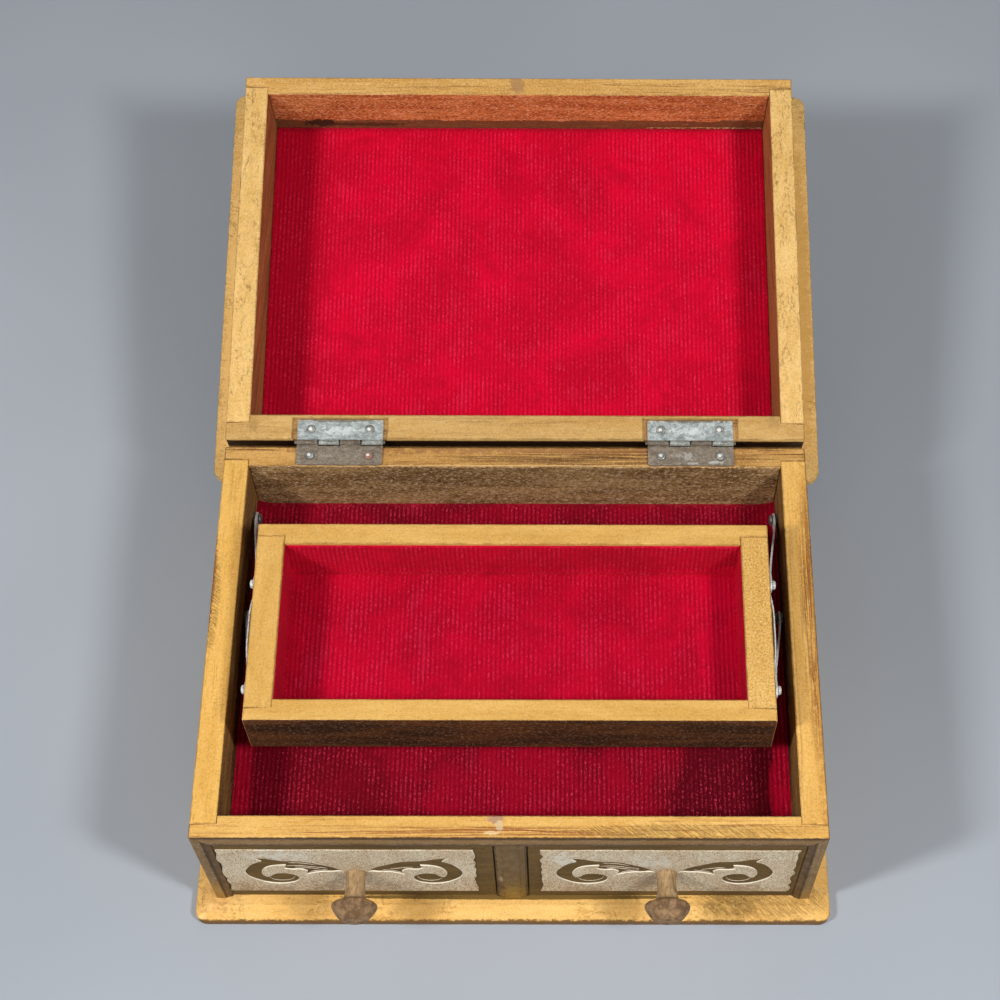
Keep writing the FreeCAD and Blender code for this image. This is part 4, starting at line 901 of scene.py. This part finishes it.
# A turned knob, as radius and height above the front; its groove is where the head begins.
KNOB = [
    (0, 0), (3.5, 0), (3.4, 0.6), (3.2, 2.4), (3.15, 4.6), (3.3, 6.8), (3.6, 8.6), (3.85, 9.7),
    (3.75, 10.1), (4.3, 10.35), (5.8, 10.6), (7.0, 11.0), (7.6, 11.7), (7.6, 12.5), (7.1, 13.5),
    (6.3, 14.7), (5.5, 15.7), (4.6, 16.6), (3.3, 17.2), (1.7, 17.4), (0, 17.4),
]
KNOB_HEAD, KNOB_GROOVE, KNOB_BLEND = 9.6, 10.1, 0.6


def add_flat(shape, name, outlines, thick=0.42 * mm, back=0.0):
    """Add a thin plate with fine bevelled edges to a shape; each outline comes with its mirror."""
    before = len(shape.verts)
    curve = bpy.data.curves.new(name, "CURVE")
    curve.dimensions = "2D"
    curve.fill_mode = "BOTH"
    for points, mirror in outlines:
        spline = curve.splines.new("BEZIER")
        spline.bezier_points.add(len(points) - 1)
        for point, (x, z, *corner) in zip(spline.bezier_points, points):
            point.co = (mirror * x * mm, z * mm, 0)
            point.handle_left_type = point.handle_right_type = "VECTOR" if corner else "AUTO"
        spline.use_cyclic_u = True
    curve.extrude = thick / 3
    curve.bevel_depth = thick / 6
    curve.bevel_resolution = 1
    holder = linked(name, curve)
    mesh = bpy.data.meshes.new_from_object(holder)
    bpy.data.objects.remove(holder)
    shape.from_mesh(mesh)
    bpy.data.meshes.remove(mesh)
    bmesh.ops.translate(shape, verts=list(shape.verts)[before:], vec=(0, 0, -back))


def raised(points):
    return [(x, z + SCROLL_RISE, *corner) for x, z, *corner in points]


def ridge(line):
    """A thin outline round a middle line, pointed at both ends."""
    above = [(x, z + RIDGE_HALF) for x, z in line[1:-1]]
    below = [(x, z - RIDGE_HALF) for x, z in reversed(line[1:-1])]
    return [(*line[0], "c"), *above, (*line[-1], "c"), *below]


def carved_plate(name, ends, knob_x, knob_z, seed):
    """The silver field: a thin plate with ragged ends and the scrolls cut through it."""
    chance = random.Random(seed)
    left, right = ((end * mm - knob_x) / mm for end in ends)
    foot, head = ((end * mm - knob_z) / mm for end in (FIELD_FOOT, FIELD_HEAD))
    up, across = 13, 8
    outline = []
    for x, start, end in ((right, foot, head), (left, head, foot)):
        for number in range(up + 1):
            corner = [] if 0 < number < up else ["c"]
            outline.append((x + chance.uniform(-0.6, 0.6), start + (end - start) * number / up, *corner))
        for number in range(1, across):
            outline.append((x + (left + right - 2 * x) * number / across, end + chance.uniform(-0.2, 0.2)))
    shape = bmesh.new()
    add_flat(shape, name, [(outline, 1)] + [(raised(SCROLL), mirror) for mirror, _ in SCROLL_SIDES])
    for mirror, lines in SCROLL_SIDES:
        for line in lines:
            add_flat(shape, name, [(ridge(raised(line)), mirror)], thick=0.1 * mm, back=0.16 * mm)
    weld(shape, 0.005 * mm)
    face_out(shape)
    cut_edge = shape.faces.layers.float.new("edge")
    for face in shape.faces:
        middle = face.calc_center_median() / mm
        inside = left + 2 < middle.x < right - 2 and foot + 1 < middle.y < head - 1
        face[cut_edge] = 1 if inside and abs(face.normal.z) < 0.95 else 0
    bmesh.ops.rotate(shape, verts=shape.verts, cent=(0, 0, 0), matrix=Matrix.Rotation(math.pi / 2, 3, "X"))
    return shape


def add_drawer_front(drawer, side, sign):
    node = drawer + "_front"
    low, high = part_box(node)
    shape = copy_of(node)
    edge = low.x if sign < 0 else high.x
    for vertex in shape.verts:
        if abs(vertex.co.x - edge) < 0.05 * mm:
            vertex.co.x += sign * GROUND_REACH * mm
    soften(shape, 0.3 * mm, least=3 * mm)
    new_piece(drawer + "_ground", shape, drawer, ["ground"], [node])
    knob_low, knob_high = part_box(drawer + "_knob")
    knob_x, knob_z = (knob_low.x + knob_high.x) / 2, (knob_low.z + knob_high.z) / 2
    plate = carved_plate(drawer + "_plate", FIELD_ENDS[side], knob_x, knob_z, 7 + sign)
    bmesh.ops.translate(plate, verts=plate.verts, vec=(knob_x, low.y - FIELD_RISE * mm, knob_z))
    new_piece(drawer + "_field", plate, drawer, ["silver"])


def add_knob(drawer, turn):
    """A turned knob: a waisted post, a groove and a mushroom head with a blunt tip."""
    node = drawer + "_knob"
    low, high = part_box(node)
    shape = bmesh.new()
    line = [shape.verts.new((radius * mm, 0, height * mm)) for radius, height in KNOB]
    edges = [shape.edges.new(pair) for pair in zip(line, line[1:])]
    bmesh.ops.spin(shape, geom=line + edges, cent=(0, 0, 0), axis=(0, 0, 1), angle=2 * math.pi,
                   steps=40, use_merge=True)
    weld(shape, 0.01 * mm)
    face_out(shape)
    head = shape.verts.layers.float.new("head")
    groove = shape.verts.layers.float.new("groove")
    for vertex in shape.verts:
        height = vertex.co.z / mm
        vertex[head] = share_of((height - KNOB_HEAD) / KNOB_BLEND)
        vertex[groove] = max(0, 1 - abs(height - KNOB_GROOVE) / KNOB_BLEND)
        uneven = noise.noise(vertex.co * 220 + Vector((turn, 0, 0)))
        vertex.co += Vector((vertex.co.x, vertex.co.y, 0)) * 0.035 * uneven
    stand = Matrix.Translation(((low.x + high.x) / 2, high.y, (low.z + high.z) / 2))
    aim = Matrix.Rotation(math.pi / 2, 4, "X") @ Matrix.Rotation(turn, 4, "Z")
    bmesh.ops.transform(shape, matrix=stand @ aim, verts=shape.verts)
    piece = new_piece(drawer + "_turned_knob", shape, drawer, ["knob"], [node], smooth=True)
    smoother = piece.modifiers.new("smooth", "SUBSURF")
    smoother.levels = smoother.render_levels = 1


def add_drawers():
    for side, sign in SIDES:
        drawer = "drawer_" + side
        add_drawer_front(drawer, side, sign)
        add_knob(drawer, 0.7 + sign)
        for part in ("_inner_front", "_inner_side", "_outer_side", "_back", "_bottom"):
            board(drawer + part, "drawer", width=0.4 * mm)


# Hinges, arms and small metal parts; the pins and the knobs' screws keep their nodes' shapes

# The radius of the arms' round ends, their thickness, and the flat run at each end
ARM_RADIUS, ARM_THICK, ARM_FLAT = 2.5 * mm, 0.6 * mm, 3 * mm
# The tray bars' thickness, and how far each bows away from the tray
BAR_THICK = 0.5 * mm
BAR_BOWS = {"left": 1.9 * mm, "right": 1.5 * mm}


def paint_node(name, finish):
    node = nodes[name]
    node.data.materials.clear()
    node.data.materials.append(finishes[finish].material)


def add_arm(node, foot, head):
    """A thin steel strip with round ends, bent gently from the case's wall over to the tray's bar."""
    low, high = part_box(node)
    outer, inner = (low.x, high.x) if low.x < 0 else (high.x, low.x)
    side = math.copysign(1, outer)
    length = (head - foot).length
    run = (head - foot).normalized()
    across = Vector((1, 0, 0)).cross(run)
    shape = bmesh.new()
    for vertex in new_grid(shape, 48, 4):
        along_arm = (vertex.co.x + 0.5) * (length + 2 * ARM_RADIUS) - ARM_RADIUS
        beyond = max(0.0, -along_arm, along_arm - length) / ARM_RADIUS
        half = ARM_RADIUS * math.sqrt(max(0.02, 1 - beyond ** 2))
        share = share_of((along_arm - ARM_FLAT) / (length - 2 * ARM_FLAT))
        share += 0.35 * (share * share * (3 - 2 * share) - share)
        x = (outer - side * 0.5 * mm) * (1 - share) + (inner + side * 0.5 * mm) * share
        place = foot + run * along_arm + across * (2 * vertex.co.y * half)
        vertex.co = Vector((x - side * ARM_THICK / 2, place.y, place.z))
    thicken(shape, ARM_THICK)
    reach = [vertex.co.x for vertex in shape.verts]
    bmesh.ops.translate(shape, verts=shape.verts, vec=((low.x + high.x - min(reach) - max(reach)) / 2, 0, 0))
    new_piece(node + "_strip", shape, nodes[node]["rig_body"], ["bright"], [node])


def add_bar(side, sign):
    """The tray's side bar: a thin strip, riveted at its ends and bowed away from the tray between."""
    node = f"tray_bar_{side}"
    low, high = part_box(node)
    inner = high.x if sign < 0 else low.x
    shape = bmesh.new()
    for vertex in new_grid(shape, 60, 1):
        y = low.y + (vertex.co.x + 0.5) * (high.y - low.y)
        near, far = (y - low.y - 5 * mm) / (14 * mm), (high.y - 4 * mm - y) / (12 * mm)
        rise = BAR_BOWS[side] * math.sin(share_of(min(near, far)) * math.pi / 2)
        vertex.co = Vector((inner + sign * (rise + 0.1 * mm), y, low.z if vertex.co.y < 0 else high.z))
    face_out(shape)
    outer = bmesh.ops.extrude_face_region(shape, geom=list(shape.faces))
    bmesh.ops.translate(shape, verts=made_by(outer, bmesh.types.BMVert), vec=(sign * BAR_THICK, 0, 0))
    face_out(shape)
    soften(shape, 0.1 * mm, segments=2)
    new_piece(node + "_strip", shape, "tray", ["bright"], [node])


def add_leaf(node, finish, knuckle):
    """A hinge leaf with rounded edges; its knuckles have a finish of their own."""
    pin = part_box(node.replace("case_leaf", "hinge_pin").replace("lid_leaf", "hinge_pin"))
    axle = (pin[0] + pin[1]) / 2
    shape = copy_of(node)
    for face in shape.faces:
        place = face.calc_center_median() - axle
        if math.hypot(place.y, place.z) < 1.03 * mm:
            face.material_index = 1
    soften(shape, 0.1 * mm, 0.3 * mm, segments=2)
    new_piece(node + "_plate", shape, nodes[node]["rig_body"], [finish, knuckle], [node])


def add_heads(node, finish, width, axles=(), slim=1.0):
    """Nails, screws or rivets with domed heads, slimmer about their axles where these are given."""
    shape = copy_of(node)
    for vertex in shape.verts if axles else ():
        axle = min(axles, key=lambda axle: math.hypot(vertex.co.y - axle[0], vertex.co.z - axle[1]))
        vertex.co.y = axle[0] + (vertex.co.y - axle[0]) * slim
        vertex.co.z = axle[1] + (vertex.co.z - axle[1]) * slim
    soften(shape, width, segments=4)
    new_piece(node + "_domed", shape, nodes[node]["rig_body"], [finish], [node], smooth=True)


def add_metal():
    lift, level, front = pivots["tray_lift"], pivots["tray_level"], pivots["front_arm_swing"]
    for side, sign in SIDES:
        add_arm("rear_arm_" + side, lift, level)
        add_arm("front_arm_" + side, front, front + level - lift)
        add_bar(side, sign)
    for side, _ in SIDES:
        add_leaf("case_leaf_" + side, "stained", "knuckle")
        add_leaf("lid_leaf_" + side, "zinc", "pale_knuckle")
        paint_node("hinge_pin_" + side, "knuckle")
        paint_node(f"drawer_{side}_knob_screw", "bright")
    add_heads("case_leaf_nails", "nails", 0.38 * mm)
    add_heads("lid_leaf_nails", "nails", 0.38 * mm)
    add_heads("arm_screws", "shaded", 0.6 * mm)
    low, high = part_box("tray_rivets")
    middle, head = (low.z + high.z) / 2, (high.z - low.z) / 2
    add_heads("tray_rivets", "bright", 1.5 * mm, [(low.y + head, middle), (high.y - head, middle)], 0.8)


add_camera()
add_studio()
add_floor()
add_case()
add_lid()
add_tray()
add_linings()
add_frayed_edge()
add_tray_strips()
add_drawers()
add_metal()
scene.view_settings.view_transform = "Standard"
